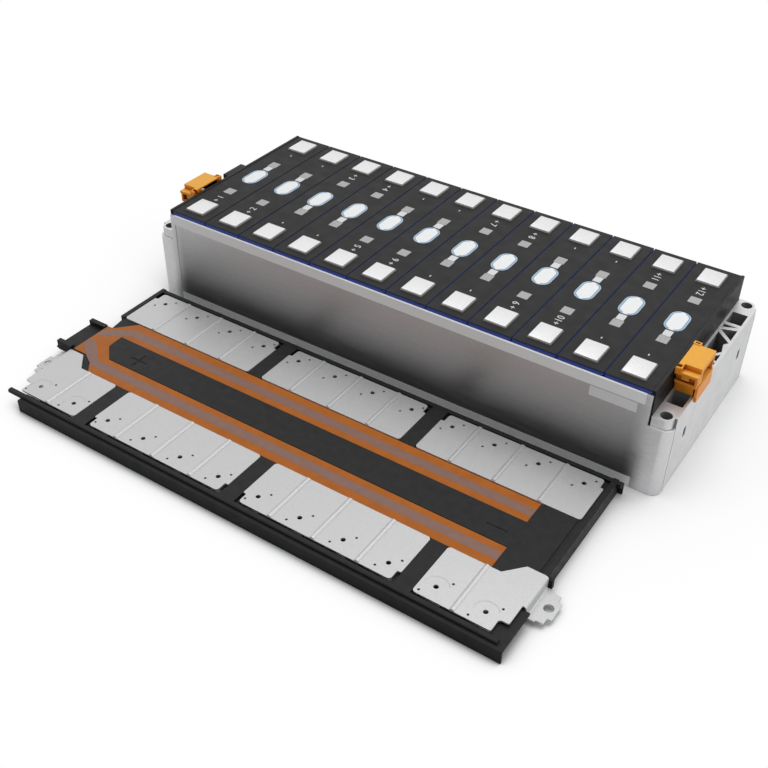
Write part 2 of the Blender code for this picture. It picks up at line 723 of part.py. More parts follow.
def outer_busbar(lean):
    """The busbar at the right end. A flare folds down to a stepped tab with the bolt hole."""
    first = CELL_COUNT - 2
    left = cell_x(first) - PITCH / 2 + BAR_GAP / 2
    tab = COVER_PLACE + TAB_HALF
    outline = [(left, -BAR_OUT), (WAIST_AT - WAIST_CUT, -BAR_OUT),
               (WAIST_AT - WAIST_CUT, -WAIST_FROM), (WAIST_AT, -WAIST_FROM), (WAIST_AT, -tab)]
    turns = [BAR_CORNER, 0.0015, 0.0025, 0.0015, 0]
    near, far = [], []
    for reach, shoulder in TAB_STEPS:
        side = tab - shoulder
        near += [(unfolded(reach), -side)]
        far += [(unfolded(reach), -2 * COVER_PLACE + side)]
    steps = []
    for k, (x, y) in enumerate(near):
        steps += [(near[k - 1][0], y), (x, y)] if k else [(x, y)]
    back = []
    for k, (x, y) in enumerate(far):
        back += [(far[k - 1][0], y), (x, y)] if k else [(x, y)]
    outline += steps + back[::-1]
    turns += [0.0008] * (len(steps) + len(back))
    outline += [(FOLD_AT + FOLD_LENGTH, -2 * COVER_PLACE + tab), (FOLD_AT + FOLD_LENGTH / 2,
                -FLARE_IN), (FLARE_END, -FLARE_IN), (FLARE_START, -BAR_IN), (left, -BAR_IN)]
    turns += [0, 0, 0.001, 0.001, BAR_CORNER]
    holes = [hole for number in (first, first + 1)
             for hole in hole_set(number, -1, OUTER_AWAY, lean)]
    holes.append(circle(unfolded(END_MIDDLE), -COVER_PLACE, TAB_HOLE, 16))
    flat = plate("flat_pattern", rounded(outline, turns), BAR_FLOOR, TRAY_TOP)
    drill(flat, holes, BAR_FLOOR, TRAY_TOP)
    bar = piece("outer_bar", folded(shaped_mesh(flat)))
    join(bar, beads(first, first + 1, -BAR_OUT, -BAR_IN))
    return shaped_mesh(bar)


def outer_busbars():
    """Both outer busbars. The small holes lean the same way on either, so only they differ."""
    on_tray(piece("right", outer_busbar(1)), "busbar_near_4", "busbar_aluminium")
    on_tray(piece("left", mirrored(outer_busbar(-1), 0)), "busbar_near_1", "busbar_aluminium")


def flex_outline(margin=0.0):
    """The flexible circuit in plan: two strips that meet in a head at the left end."""
    start = -FLEX_START
    head = FLEX_IN * 1.38
    turn = -FLEX_START + (FLEX_OUT - FLEX_MOUTH)
    inner = -FLEX_START + FLEX_MOUTH + 0.0015
    return [(start, -head), (start, FLEX_MOUTH), (start + 0.007, FLEX_MOUTH),
            (turn + 0.005, FLEX_OUT), (FLEX_END, FLEX_OUT), (FLEX_END, FLEX_IN),
            (inner, FLEX_IN), (inner + 0.001, -0.001),
            (inner + FLEX_IN, -FLEX_IN), (FLEX_END, -FLEX_IN), (FLEX_END, -FLEX_OUT),
            (start + HEAD_LONG, -FLEX_OUT), (start + HEAD_BEND, -head)]


def flex_circuit():
    floor = PLATE_TOP + FIT
    flex = plate("flex", flex_outline(), floor, floor + FLEX_THICK)
    on_tray(flex, "flex_circuit", "flex_orange")


def rail_profile(side):
    """Rail along one long side of the tray, as (y, z), round at its outer edge."""
    top = TRAY_TOP - 0.0004
    out = RAIL_IN + RAIL_THICK
    rail = [(RAIL_IN, PLATE_FLOOR), (RAIL_IN, top), (out, top), (out, PLATE_FLOOR)]
    return [(side * y, z) for y, z in rounded(rail, [0, 0, RAIL_ROUND, 0])]


def skirt_profile(side):
    """Flat ledge beside the rail, and the skirt that stands under it."""
    inside = RAIL_IN + 0.0006
    skirt = [(inside, LEDGE_FLOOR), (inside, LEDGE_TOP), (TRAY_HALF - 0.0007, LEDGE_TOP),
             (TRAY_HALF, LEDGE_TOP - 0.0007), (TRAY_HALF, 0), (TRAY_HALF - SKIRT_THICK, 0),
             (TRAY_HALF - SKIRT_THICK, LEDGE_FLOOR)]
    return [(side * y, z) for y, z in skirt]


def gutter_profile(side):
    """The step down from the upper level of the tray to the lower one beside the rail."""
    wall = STEP_AT - TRAY_PLATE
    gutter = [(wall - 0.001, PLATE_FLOOR), (wall - 0.001, PLATE_TOP), (STEP_AT, PLATE_TOP),
              (STEP_AT, LEDGE_TOP), (RAIL_IN + 0.001, LEDGE_TOP), (RAIL_IN + 0.001, LEDGE_FLOOR),
              (wall, LEDGE_FLOOR), (wall, PLATE_FLOOR)]
    return [(side * y, z) for y, z in gutter]


def corner_floor():
    """The same step at the right end, under the waist of the outer busbar."""
    front = -RAIL_IN - 0.001
    back = -TAB_FROM - FIT
    wall = TRAY_PLATE
    floor = box("corner_floor", CORNER_AT - wall, SKIRT_RIGHT, front, back, LEDGE_FLOOR, LEDGE_TOP)
    side = box("corner_side", CORNER_AT - wall, CORNER_AT, -STEP_AT + 0.0005, back + 0.001,
               LEDGE_FLOOR + 0.001, PLATE_TOP)
    inner = box("corner_back", CORNER_AT - wall, WALL_FACE, back - wall / 2, back + 0.001,
                LEDGE_FLOOR + 0.0005, PLATE_TOP)
    return floor, side, inner


def fold_walls():
    """End walls of the tray where an outer busbar folds down over them."""
    reach = FOLD_AT + FOLD_RADIUS - BAR_THICK / 2 - FIT
    top = TRAY_TOP - BAR_THICK - FOLD_RADIUS
    right = box("fold_wall_right", WALL_FACE, reach, -TAB_FROM - FIT, -FLARE_IN - 0.003,
                LEDGE_FLOOR, top)
    left = box("fold_wall_left", -reach, -WALL_FACE + 0.003, -TAB_FROM - FIT, -FLARE_IN - 0.003,
               LEDGE_FLOOR, top)
    return right, left


def lands():
    """Cross lands between neighbouring busbars."""
    half = BAR_GAP / 2 - FIT
    deep = STEP_AT - TRAY_PLATE / 2
    profile = [(BAR_IN - 0.0002, PLATE_TOP - 0.001), (BAR_IN - 0.0002, LAND_TOP),
               (RAIL_IN + 0.001, LAND_TOP), (RAIL_IN + 0.001, LEDGE_TOP - 0.001),
               (deep, LEDGE_TOP - 0.001), (deep, PLATE_TOP - 0.001)]
    made = []
    for side, edges in ((1, (4, 8)), (-1, (2, 6, 10))):
        for edge in edges:
            x = (edge - CELL_COUNT / 2) * PITCH
            outline = [(side * y, z) for y, z in profile]
            made.append(along_x("land", outline, x - half, x + half))
    return as_one("lands", made)


def centre_land():
    """The raised middle of the tray, inside the flexible circuit and wide past its end."""
    gap = FIT * 1.5
    inner = -FLEX_START + FLEX_MOUTH + 0.0015 + gap
    past = FLEX_END + gap
    inside = FLEX_IN - gap
    wide = FLEX_OUT
    wall = WALL_FACE - LAND_GROOVE
    return [(inner, inside), (inner + 0.001, -0.001), (inner + inside, -inside), (past, -inside),
            (past, -wide), (FLARE_START - 0.0006, -wide), (FLARE_END - 0.0004, -FLARE_IN + FIT * 2),
            (wall, -FLARE_IN + FIT * 2), (wall, wide), (past, wide), (past, inside)]


def signs():
    """A sunk plus and minus in the middle of the tray."""
    half = SIGN_THICK / 2
    long = SIGN_LONG / 2
    z0, z1 = LAND_TOP - SIGN_DEEP, LAND_TOP + 0.01
    plus = [(-half, -long), (half, -long), (half, -half), (long, -half), (long, half),
            (half, half), (half, long), (-half, long), (-half, half), (-long, half),
            (-long, -half), (-half, -half)]
    middle = -0.0025
    made = [plate("plus", [(x - SIGN_PLACE, y + middle) for x, y in plus], z0, z1)]
    made.append(box("minus", SIGN_PLACE, SIGN_PLACE + SIGN_LONG, middle - half, middle + half,
                    z0, z1))
    return as_one("signs", made)


def tray_walls():
    """End walls of the tray. Each stops short of the tab of its outer busbar."""
    top = TRAY_TOP - 0.0002
    right = box("right_wall", WALL_FACE, WALL_OUT, -FLARE_IN + 0.0004, RAIL_OUT, 0, top)
    hook = box("hook", WALL_FACE + 0.002, WALL_OUT + 0.004, -FLARE_IN + 0.0005,
               -FLARE_IN + 0.004, top - 0.013, top - 0.004)
    left = box("left_wall", -WALL_OUT, -WALL_FACE, BAR_IN, RAIL_OUT, 0, top)
    return right, hook, left


def chute():
    """The trough at the left end that leads the flexible circuit to its plug."""
    floor = PLATE_TOP - CHUTE_DROP
    root = -WALL_FACE + 0.004
    near = -FLEX_MOUTH - FIT * 10
    far = FLEX_MOUTH + FIT
    bottom = box("chute_floor", -CHUTE_REACH, root, near, far, floor, floor + CHUTE_FLOOR)
    near_lip = box("chute_near", -CHUTE_REACH + 0.002, -FLEX_START - 0.001, near,
                   near + CHUTE_WALL, floor - 0.001, TRAY_TOP + CHUTE_LIP)
    far_lip = box("chute_far", -CHUTE_REACH, -FLEX_START - 0.001, far - CHUTE_WALL, far,
                  floor - 0.001, TRAY_TOP)
    step = box("chute_step", -FLEX_START - 0.0015, root, near, far, floor + 0.0005, PLATE_TOP)
    return bottom, near_lip, far_lip, step


def busbar_tray():
    """Moulded tray: a stepped plate with a window for each terminal, rails, skirts and lands."""
    y = STEP_AT - TRAY_PLATE / 2
    plan = [(-WALL_FACE - 0.001, y), (-WALL_FACE - 0.001, BAR_IN - 0.001),
            (-WALL_FACE + 0.002, FLEX_MOUTH), (-WALL_FACE + 0.002, -TAB_FROM),
            (-CORNER_AT, -TAB_FROM), (-CORNER_AT, -y), (CORNER_AT - 0.001, -y),
            (CORNER_AT - 0.001, -TAB_FROM), (WALL_FACE + 0.001, -TAB_FROM), (WALL_FACE + 0.001, y)]
    windows = []
    for number in range(CELL_COUNT):
        for side in (-1, 1):
            windows.append([(cell_x(number) + x, y)
                            for x, y in terminal_outline(side, WINDOW_MARGIN)])
    tray = plate("tray", plan, PLATE_FLOOR, PLATE_TOP)
    join(tray, along_x("near_gutter", gutter_profile(-1), -SKIRT_LEFT, CORNER_AT - 0.0005))
    join(tray, along_x("far_gutter", gutter_profile(1), -WALL_FACE - 0.001, WALL_FACE + 0.001))
    for part in corner_floor() + fold_walls():
        join(tray, part)
    drill(tray, windows, LEDGE_FLOOR, PLATE_TOP)
    join(tray, along_x("near_skirt", skirt_profile(-1), -SKIRT_LEFT, SKIRT_RIGHT))
    join(tray, along_x("far_skirt", skirt_profile(1), -WALL_OUT + 0.001, SKIRT_RIGHT))
    join(tray, along_x("near_rail", rail_profile(-1), -WALL_OUT, SKIRT_RIGHT - RAIL_SHORT))
    join(tray, along_x("far_rail", rail_profile(1), -WALL_OUT + 0.0015, SKIRT_RIGHT - 0.0005))
    for part in tray_walls() + chute():
        join(tray, part)
    join(tray, lands())
    join(tray, plate("centre_land", centre_land(), PLATE_TOP - 0.001, LAND_TOP))
    cut(tray, signs())
    on_tray(tray, "busbar_tray", "black_plastic")


PIECES, TOOLS = start()
cells()
top_sheets()
vent_films()
bottom_sheet()
end_walls()
side_plates()
end_plates()
cover_bases()
cover_lids()
terminal_nuts()
sensing_socket()
for place, (first_cell, last_cell) in enumerate(((0, 3), (4, 7), (8, 11))):
    busbar(f"busbar_far_{place + 1}", first_cell, last_cell, 1)
for place, (first_cell, last_cell) in enumerate(((2, 5), (6, 9))):
    busbar(f"busbar_near_{place + 2}", first_cell, last_cell, -1)
outer_busbars()
flex_circuit()
busbar_tray()
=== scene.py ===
# %% [markdown]
# # A battery module and its busbar tray
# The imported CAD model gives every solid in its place. This lesson dresses it: it rounds edges that
# catch the light, shapes the covers further, adds thin printed and pressed details, and gives each
# material its surface. Everything is in metres, Z is up, and the module stands on the plane z = 0.

# %% Load the frame
import math

import bpy
from mathutils import Matrix, Vector


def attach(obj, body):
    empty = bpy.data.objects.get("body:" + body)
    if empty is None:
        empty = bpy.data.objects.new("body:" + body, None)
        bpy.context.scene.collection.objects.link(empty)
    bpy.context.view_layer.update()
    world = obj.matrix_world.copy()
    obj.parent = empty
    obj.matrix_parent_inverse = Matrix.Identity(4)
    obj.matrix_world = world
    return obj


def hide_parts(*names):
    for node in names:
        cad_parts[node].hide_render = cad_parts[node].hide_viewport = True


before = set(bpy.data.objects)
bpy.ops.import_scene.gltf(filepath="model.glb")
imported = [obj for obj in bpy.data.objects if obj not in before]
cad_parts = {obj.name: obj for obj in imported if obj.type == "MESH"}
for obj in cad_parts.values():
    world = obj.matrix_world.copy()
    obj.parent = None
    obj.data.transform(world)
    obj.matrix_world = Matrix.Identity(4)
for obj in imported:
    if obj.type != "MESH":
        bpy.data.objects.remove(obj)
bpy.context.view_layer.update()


def in_mm(corners):
    return [[round(value * 1000, 1) for value in corner] for corner in corners]


# %% [markdown]
# ## Selecting and finishing
# Operators act on whatever is selected, and a freshly loaded frame is selected all over. Data
# could be changed directly instead, but operators are what a hand at the screen uses, so the first
# helpers put the selection in order. The last one finishes a piece: its place goes into its mesh,
# it gets its material, and it is tied to the one rigid body of this model.

# %% Helpers for selecting and finishing a piece


def take(*pieces):
    """Leave edit mode, and select only these pieces."""
    if bpy.context.object and bpy.context.object.mode != "OBJECT":
        bpy.ops.object.mode_set(mode="OBJECT")
    bpy.ops.object.select_all(action="DESELECT")
    for piece in pieces:
        piece.select_set(True)
    bpy.context.view_layer.objects.active = pieces[0]


def pick(piece, kind, wanted):
    """Select the vertices, edges or faces of a piece for which wanted(element) holds."""
    take(piece)
    bpy.ops.object.mode_set(mode="EDIT")
    bpy.ops.mesh.select_mode(type=kind)
    bpy.ops.mesh.select_all(action="DESELECT")
    bpy.ops.object.mode_set(mode="OBJECT")
    mesh = piece.data
    elements = {"VERT": mesh.vertices, "EDGE": mesh.edges, "FACE": mesh.polygons}[kind]
    for element in elements:
        element.select = bool(wanted(element))
    bpy.ops.object.mode_set(mode="EDIT")


def settle(piece):
    """Put the place, turn and size of a piece into its mesh."""
    take(piece)
    bpy.ops.object.transform_apply(location=True, rotation=True, scale=True)


def finish_piece(piece, material, slot, *nodes):
    """Settle a piece, give it its material, and hide the CAD nodes that it stands for."""
    settle(piece)
    piece.data.materials.clear()
    piece.data.materials.append(material)
    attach(piece, "root")
    if nodes:
        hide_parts(*nodes)


# %% [markdown]
# ## Blocks and round edges
# Many small details start as a block between two corners. No real edge is sharp, so a Bevel
# modifier rounds it. A bevel by hand would need each edge to be found. The modifier finds them all
# by their angle, and shading by angle then keeps flat faces flat.

# %% Helpers for blocks and round edges
EDGE_ANGLE = 30              # a corner sharper than this is rounded, in degrees
SHADE_ANGLE = 40             # a corner sharper than this stays a crease in the shading


def block(name, low, high):
    """A cube added at its place and size, named, with its size in its mesh."""
    low, high = Vector(low), Vector(high)
    bpy.ops.object.select_all(action="DESELECT")
    bpy.ops.mesh.primitive_cube_add(size=1, location=(low + high) / 2)
    made = bpy.context.object
    made.name = name
    made.scale = high - low
    settle(made)
    return made


def smooth(piece, even=False):
    """Shade by angle, with the large flat faces deciding how the light runs over small ones.
    An even piece is shaded face by face instead, where narrow faces would bend the light."""
    take(piece)
    if even:
        bpy.ops.object.shade_flat()
        return
    bpy.ops.object.shade_smooth_by_angle(angle=math.radians(SHADE_ANGLE))
    weigh = piece.modifiers.new("normals", "WEIGHTED_NORMAL")
    weigh.weight = 100
    weigh.keep_sharp = True
    bpy.ops.object.modifier_apply(modifier=weigh.name)


def soften(piece, width, segments=2, even=False):
    """Round the sharp edges of a piece with a Bevel modifier, and shade it."""
    take(piece)
    bevel = piece.modifiers.new("edges", "BEVEL")
    bevel.width = width
    bevel.segments = segments
    bevel.limit_method = "ANGLE"
    bevel.angle_limit = math.radians(EDGE_ANGLE)
    bpy.ops.object.modifier_apply(modifier=bevel.name)
    smooth(piece, even=even)


# %% [markdown]
# ## Camera
# The photograph was taken from the right, in front of the tray and above it. A camera can be
# placed by eye, but a few millimetres then go astray. The place, the direction and the focal
# length below come from fitting a camera to points of known size on the module and the tray.

# %% Camera
LOOK = Vector((-0.43260, 0.65885, -0.61545))
TO_THE_RIGHT = Vector((0.83091, 0.55629, 0.01146))
CAMERA_PLACE = (0.4694, -0.8246, 0.6648)
SENSOR, LENS, NEAREST = 36, 50.38, 0.01

forward = LOOK.normalized()
right = (TO_THE_RIGHT - forward * TO_THE_RIGHT.dot(forward)).normalized()
up = right.cross(forward)
lens_data = bpy.data.cameras.new("camera")
lens_data.sensor_width = SENSOR
lens_data.lens = LENS
lens_data.clip_start = NEAREST
camera = bpy.data.objects.new("camera", lens_data)
scene = bpy.context.scene
scene.collection.objects.link(camera)
camera.matrix_world = (Matrix.Translation(CAMERA_PLACE)
                       @ Matrix((right, up, -forward)).transposed().to_4x4())
scene.camera = camera
print("camera at", CAMERA_PLACE, "with a lens of", LENS, "mm")

# %% [markdown]
# ## The white room
# Bare metal looks like what it mirrors, so the room matters as much as the lamps. The world could
# be white for every ray, but then it would also flatten all shade. Here it is white to the camera
# and to mirrored rays, and only a weak, slightly cool fill to the rest.

# %% World
FILL_COLOUR, FILL_STRENGTH = (0.97, 0.985, 1.0, 1), 0.36
WHITE = (1, 1, 1, 1)


def calculate(tree, operation, first, second=0.0):
    """One Math node. Each side is another node's output or a plain number."""
    node = tree.nodes.new("ShaderNodeMath")
    node.operation = operation
    for socket, source in zip(node.inputs, (first, second)):
        if isinstance(source, float):
            socket.default_value = source
        else:
            tree.links.new(source, socket)
    return node.outputs[0]


def background(tree, colour, strength):
    node = tree.nodes.new("ShaderNodeBackground")
    node.inputs["Color"].default_value = colour
    node.inputs["Strength"].default_value = strength
    return node.outputs[0]


scene.view_settings.view_transform = "Standard"
world = bpy.data.worlds.new("studio")
scene.world = world
world.use_nodes = True
tree = world.node_tree
tree.nodes.clear()
rays = tree.nodes.new("ShaderNodeLightPath")
seen = calculate(tree, "MAXIMUM", rays.outputs["Is Camera Ray"], rays.outputs["Is Glossy Ray"])
mix = tree.nodes.new("ShaderNodeMixShader")
tree.links.new(seen, mix.inputs[0])
tree.links.new(background(tree, FILL_COLOUR, FILL_STRENGTH), mix.inputs[1])
tree.links.new(background(tree, WHITE, 1.0), mix.inputs[2])
tree.links.new(mix.outputs[0], tree.nodes.new("ShaderNodeOutputWorld").inputs[0])
print("world: white when seen or mirrored, a fill of", FILL_STRENGTH, "otherwise")

# %% [markdown]
# ## Lamps
# One big soft lamp overhead lights the tops, and a weaker one from the right lights the end plate.
# The overhead light is split in two: metal mirrors only the weaker half. With one full lamp the
# busbars would show a hard bright patch.

# %% Lamps
ABOVE, SOFTBOX, BESIDE = (0.10, 0.25, 1.70), (0.10, 0.25, 1.75), (1.5, 0.1, 0.9)
MIDDLE, END_MIDDLE = (0, -0.1, 0), (0.1, -0.05, 0.05)


def lamp(name, place, target, size, power):
    data = bpy.data.lights.new(name, "AREA")
    data.shape = "DISK"
    data.size = size
    data.energy = power
    made = bpy.data.objects.new(name, data)
    scene.collection.objects.link(made)
    made.location = place
    made.rotation_euler = (Vector(target) - Vector(place)).to_track_quat("-Z", "Y").to_euler()
    print("lamp", name, "of", power, "W at", place)
    return made


lamp("overhead", ABOVE, MIDDLE, 1.3, 4.5)
softbox = lamp("softbox", SOFTBOX, MIDDLE, 1.3, 9.5)
softbox.visible_glossy = False           # bare metal shows the even white room, not this lamp
lamp("side", BESIDE, END_MIDDLE, 0.9, 3.2)

# %% [markdown]
# ## Floor
# The floor glows white to the camera in the open, and is plain lit paint where the object closes
# it in, so that the background is white and the soft shadow stays. A shadow catcher would need a
# second picture laid over the first. An Ambient Occlusion node does it in one: it is 1 on open
# floor and falls towards 0 in a corner or under the tray.

# %% Floor
FLOOR_SIZE, FLOOR_Z = 12, -0.0003        # just below the feet, so that no faces coincide
PAINT = (0.93, 0.93, 0.93, 1)
SHADE_REACH = 0.22                       # how far a thing shades the glow
CLOSED_IN, OPEN = 0.45, 0.97             # from no glow at all to full glow


def remap(tree, source, start, end, low=0.0, high=1.0, kind="LINEAR"):
    """Bring a value from one span to another, and stop at both ends."""
    span = tree.nodes.new("ShaderNodeMapRange")
    span.interpolation_type = kind
    for name, value in (("From Min", start), ("From Max", end), ("To Min", low),
                        ("To Max", high)):
        span.inputs[name].default_value = value
    tree.links.new(source, span.inputs["Value"])
    return span.outputs[0]


def openness(tree, distance, samples):
    """How open the surface is within a distance: 1 in the open, less where things are near."""
    around = tree.nodes.new("ShaderNodeAmbientOcclusion")
    around.samples = samples
    around.inputs["Distance"].default_value = distance
    return around.outputs["AO"]


bpy.ops.object.select_all(action="DESELECT")
bpy.ops.mesh.primitive_plane_add(size=FLOOR_SIZE, location=(0, 0, FLOOR_Z))
floor = bpy.context.object
floor.name = "floor"
paint = bpy.data.materials.new("floor_paint")
paint.use_nodes = True
tree = paint.node_tree
shader = tree.nodes["Principled BSDF"]
shader.inputs["Base Color"].default_value = PAINT
shader.inputs["Roughness"].default_value = 0.9
shader.inputs["Specular IOR Level"].default_value = 0.0
glow = tree.nodes.new("ShaderNodeEmission")
glow.inputs["Color"].default_value = WHITE
rays = tree.nodes.new("ShaderNodeLightPath")
in_the_open = remap(tree, openness(tree, SHADE_REACH, 24), CLOSED_IN, OPEN, kind="SMOOTHSTEP")
share = calculate(tree, "MULTIPLY", rays.outputs["Is Camera Ray"], in_the_open)
mix = tree.nodes.new("ShaderNodeMixShader")
tree.links.new(share, mix.inputs[0])
tree.links.new(shader.outputs[0], mix.inputs[1])
tree.links.new(glow.outputs[0], mix.inputs[2])
tree.links.new(mix.outputs[0], tree.nodes["Material Output"].inputs[0])
floor.data.materials.append(paint)
print("floor:", FLOOR_SIZE, "m square")

# %% [markdown]
# ## Finishes
# Every finish starts as one Principled shader. Two noises in Object coordinates then make it real:
# a broad one shifts the colour and the gloss a little, as handling and moulding do, and a fine one
# is the grain that a lamp picks out. Pictures of real surfaces could do the same, but noises work
# at any size and have no seams. The coordinates are in metres, so a noise scale of 1000 has
# features about a millimetre across.

# %% Helpers for every finish
NOISE_LOW, NOISE_HIGH = 0.3, 0.7         # nearly all of a noise lies between these


def finish(name, colour, roughness, metallic=0.0, specular=0.5):
    """A new Principled material in one plain colour."""
    made = bpy.data.materials.new(name)
    made.use_nodes = True
    shader = made.node_tree.nodes["Principled BSDF"]
    shader.inputs["Base Color"].default_value = (*colour, 1)
    shader.inputs["Roughness"].default_value = roughness
    shader.inputs["Metallic"].default_value = metallic
    shader.inputs["Specular IOR Level"].default_value = specular
    return made


def surface(material):
    """The node tree of a material, and its shader's inputs."""
    return material.node_tree, material.node_tree.nodes["Principled BSDF"].inputs


def noise(tree, scale, stretch=(1, 1, 1), detail=3.0):
    """A noise over the piece, in Object coordinates. Stretch makes its features long."""
    where = tree.nodes.new("ShaderNodeTexCoord")
    turn = tree.nodes.new("ShaderNodeMapping")
    turn.inputs["Scale"].default_value = stretch
    made = tree.nodes.new("ShaderNodeTexNoise")
    made.inputs["Scale"].default_value = scale
    made.inputs["Detail"].default_value = detail
    tree.links.new(where.outputs["Object"], turn.inputs[0])
    tree.links.new(turn.outputs[0], made.inputs["Vector"])
    return made.outputs["Fac"]


def colour_ramp(tree, source, start, low, end, high):
    """Colours from low, where the source is at start, to high, where it is at end."""
    ramp = tree.nodes.new("ShaderNodeValToRGB")
    first, last = ramp.color_ramp.elements
    first.position, last.position = start, end
    first.color, last.color = (*low, 1), (*high, 1)
    tree.links.new(source, ramp.inputs[0])
    return ramp.outputs[0]


def vary_colour(material, colour, spread, scale, stretch=(1, 1, 1)):
    """Let a colour wander by a share of itself, up and down."""
    tree, shader = surface(material)
    low = [value * (1 - spread) for value in colour]
    high = [value * (1 + spread) for value in colour]
    tone = colour_ramp(tree, noise(tree, scale, stretch), NOISE_LOW, low, NOISE_HIGH, high)
    tree.links.new(tone, shader["Base Color"])


def vary_gloss(material, low, high, scale, stretch=(1, 1, 1)):
    """Let the roughness wander between two values."""
    tree, shader = surface(material)
    gloss = remap(tree, noise(tree, scale, stretch), NOISE_LOW, NOISE_HIGH, low, high)
    tree.links.new(gloss, shader["Roughness"])


def add_grain(material, scale, depth, strength=1.0, stretch=(1, 1, 1)):
    """Fine relief. Depth is its height in metres."""
    tree, shader = surface(material)
    bump = tree.nodes.new("ShaderNodeBump")
    bump.inputs["Strength"].default_value = strength
    bump.inputs["Distance"].default_value = depth
    tree.links.new(noise(tree, scale, stretch, 2.0), bump.inputs["Height"])
    tree.links.new(bump.outputs[0], shader["Normal"])


# %% [markdown]
# ## Cast metal, busbars and terminals
# The end plates are blasted castings, and the busbars are soft aluminium sheet with a fine
# sparkle. All metal could share one material with other numbers, but each has its own grain, so
# each has its own. Inside the casting's pockets, holes and eyes a darker grey is painted shade.

# %% Metals of the castings, busbars, terminals and nuts
CAST = (0.70, 0.70, 0.705)
cast_metal = finish("blasted_casting", CAST, 0.46, metallic=1.0)
vary_colour(cast_metal, CAST, 0.05, 60)
vary_gloss(cast_metal, 0.42, 0.54, 240)
add_grain(cast_metal, 1500, 0.00009, 0.5)

# Painted shade: a dark grey for the faces inside the casting's pockets, holes and eyes; in the joint
# grooves it is the dark joint line.
POCKET_SHADE_GREY = (0.23, 0.23, 0.235)
pocket_shade_and_joint_metal = finish("casting_pocket_shade_and_joint", POCKET_SHADE_GREY, 0.75, specular=0.2)
vary_colour(pocket_shade_and_joint_metal, POCKET_SHADE_GREY, 0.18, 700)
add_grain(pocket_shade_and_joint_metal, 900, 0.00010, 0.5)

BUSBAR = (0.61, 0.61, 0.615)
busbar_metal = finish("busbar_sheet", BUSBAR, 0.42, metallic=0.6)
vary_colour(busbar_metal, BUSBAR, 0.06, 1100)
vary_gloss(busbar_metal, 0.36, 0.48, 500)
add_grain(busbar_metal, 1800, 0.00008, 0.45)

PAD = (0.78, 0.78, 0.785)
pad_metal = finish("terminal_face", PAD, 0.42, metallic=1.0)
vary_colour(pad_metal, PAD, 0.06, 1100)
vary_gloss(pad_metal, 0.36, 0.50, 700)
add_grain(pad_metal, 2200, 0.00006, 0.35)

NUT = (0.52, 0.55, 0.58)
nut_metal = finish("plated_nut", NUT, 0.30, metallic=1.0)
vary_gloss(nut_metal, 0.24, 0.36, 600)
print("metals:", [metal.name for metal in (cast_metal, pocket_shade_and_joint_metal, busbar_metal, pad_metal,
                                           nut_metal)])

# %% [markdown]
# ## Side sheet
# The side plates are rolled sheet with a faint grain along their length. The middle of the sheet
# is smooth, and a painted reflection of the dark surroundings below darkens it downwards. The
# bands along its two edges are blasted matt and painted paler, which is painted light, as if
# they leaned up to the lamps. The corners stay light. The room could be built to be mirrored, but
# a colour by place holds in every view. Both effects read the Object coordinates.

# %% Helpers for the side sheet


def multiply_colour(material, factor, share=1.0):
    """Multiply the colour so far by another. Share says how far: a number, or a node's output."""
    tree, shader = surface(material)
    mix = tree.nodes.new("ShaderNodeMix")
    mix.data_type = "RGBA"
    mix.blend_type = "MULTIPLY"
    tree.links.new(shader["Base Color"].links[0].from_socket, mix.inputs["A"])
    tree.links.new(factor, mix.inputs["B"])
    if isinstance(share, float):
        mix.inputs["Factor"].default_value = share
    else:
        tree.links.new(share, mix.inputs["Factor"])
    tree.links.new(mix.outputs["Result"], shader["Base Color"])


def place_on_piece(tree):
    """The height on the piece, and the distance from its middle in X."""
    where = tree.nodes.new("ShaderNodeTexCoord")
    split = tree.nodes.new("ShaderNodeSeparateXYZ")
    tree.links.new(where.outputs["Object"], split.inputs[0])
    return split.outputs["Z"], calculate(tree, "ABSOLUTE", split.outputs["X"])


def paint_reflection_downwards(material, stops, reach, end):
    """Painted reflection: multiply the colour by a grey that changes with the height. Stops
    are heights and greys. From reach to end, on either side of the middle, the colour grows
    whole again."""
    tree, _ = surface(material)
    height, beside = place_on_piece(tree)
    low, high = stops[0][0], stops[-1][0]
    ramp = tree.nodes.new("ShaderNodeValToRGB")
    elements = ramp.color_ramp.elements
    while len(elements) < len(stops):
        elements.new(0.5)
    for element, (place, _) in zip(elements, stops):
        element.position = (place - low) / (high - low)
    for element, (_, grey) in zip(elements, stops):
        element.color = (grey, grey, grey, 1)
    tree.links.new(remap(tree, height, low, high), ramp.inputs[0])
    inside = remap(tree, beside, reach, end, 1.0, 0.0, "SMOOTHSTEP")
    multiply_colour(material, ramp.outputs[0], inside)


def blast_and_light_edges(material, colour, low, high, reach):
    """Below low and above high the sheet is blasted, no longer a mirror, and painted paler as
    painted light.
    """
    tree, shader = surface(material)
    height, beside = place_on_piece(tree)
    edges = calculate(tree, "MAXIMUM", calculate(tree, "LESS_THAN", height, low),
                      calculate(tree, "GREATER_THAN", height, high))
    band = calculate(tree, "MULTIPLY", edges, calculate(tree, "LESS_THAN", beside, reach))
    mix = tree.nodes.new("ShaderNodeMix")
    mix.data_type = "RGBA"
    mix.inputs["B"].default_value = (*colour, 1)
    tree.links.new(band, mix.inputs["Factor"])
    tree.links.new(shader["Base Color"].links[0].from_socket, mix.inputs["A"])
    tree.links.new(mix.outputs["Result"], shader["Base Color"])
    tree.links.new(remap(tree, band, 0.0, 1.0, 1.0, 0.0), shader["Metallic"])


# %% [markdown]
# The sheet's own numbers follow: the painted reflection is darkest near the floor, where the
# tray lies in front of it, and ends before the bent corners. The grain and the gloss are
# stretched along the row.

# %% Rolled sheet of the side plates
ROLLED = (0.72, 0.72, 0.725)
BLASTED_AND_LIT = (0.92, 0.92, 0.92)
REFLECTION_GREYS = [(0.0, 0.20), (0.012, 0.20), (0.045, 0.38), (0.075, 0.60), (0.106, 0.80)]
REFLECTION_REACH, REFLECTION_END = 0.256, 0.278
BAND_LOW, BAND_HIGH, BAND_REACH = 0.0110, 0.0942, 0.2660

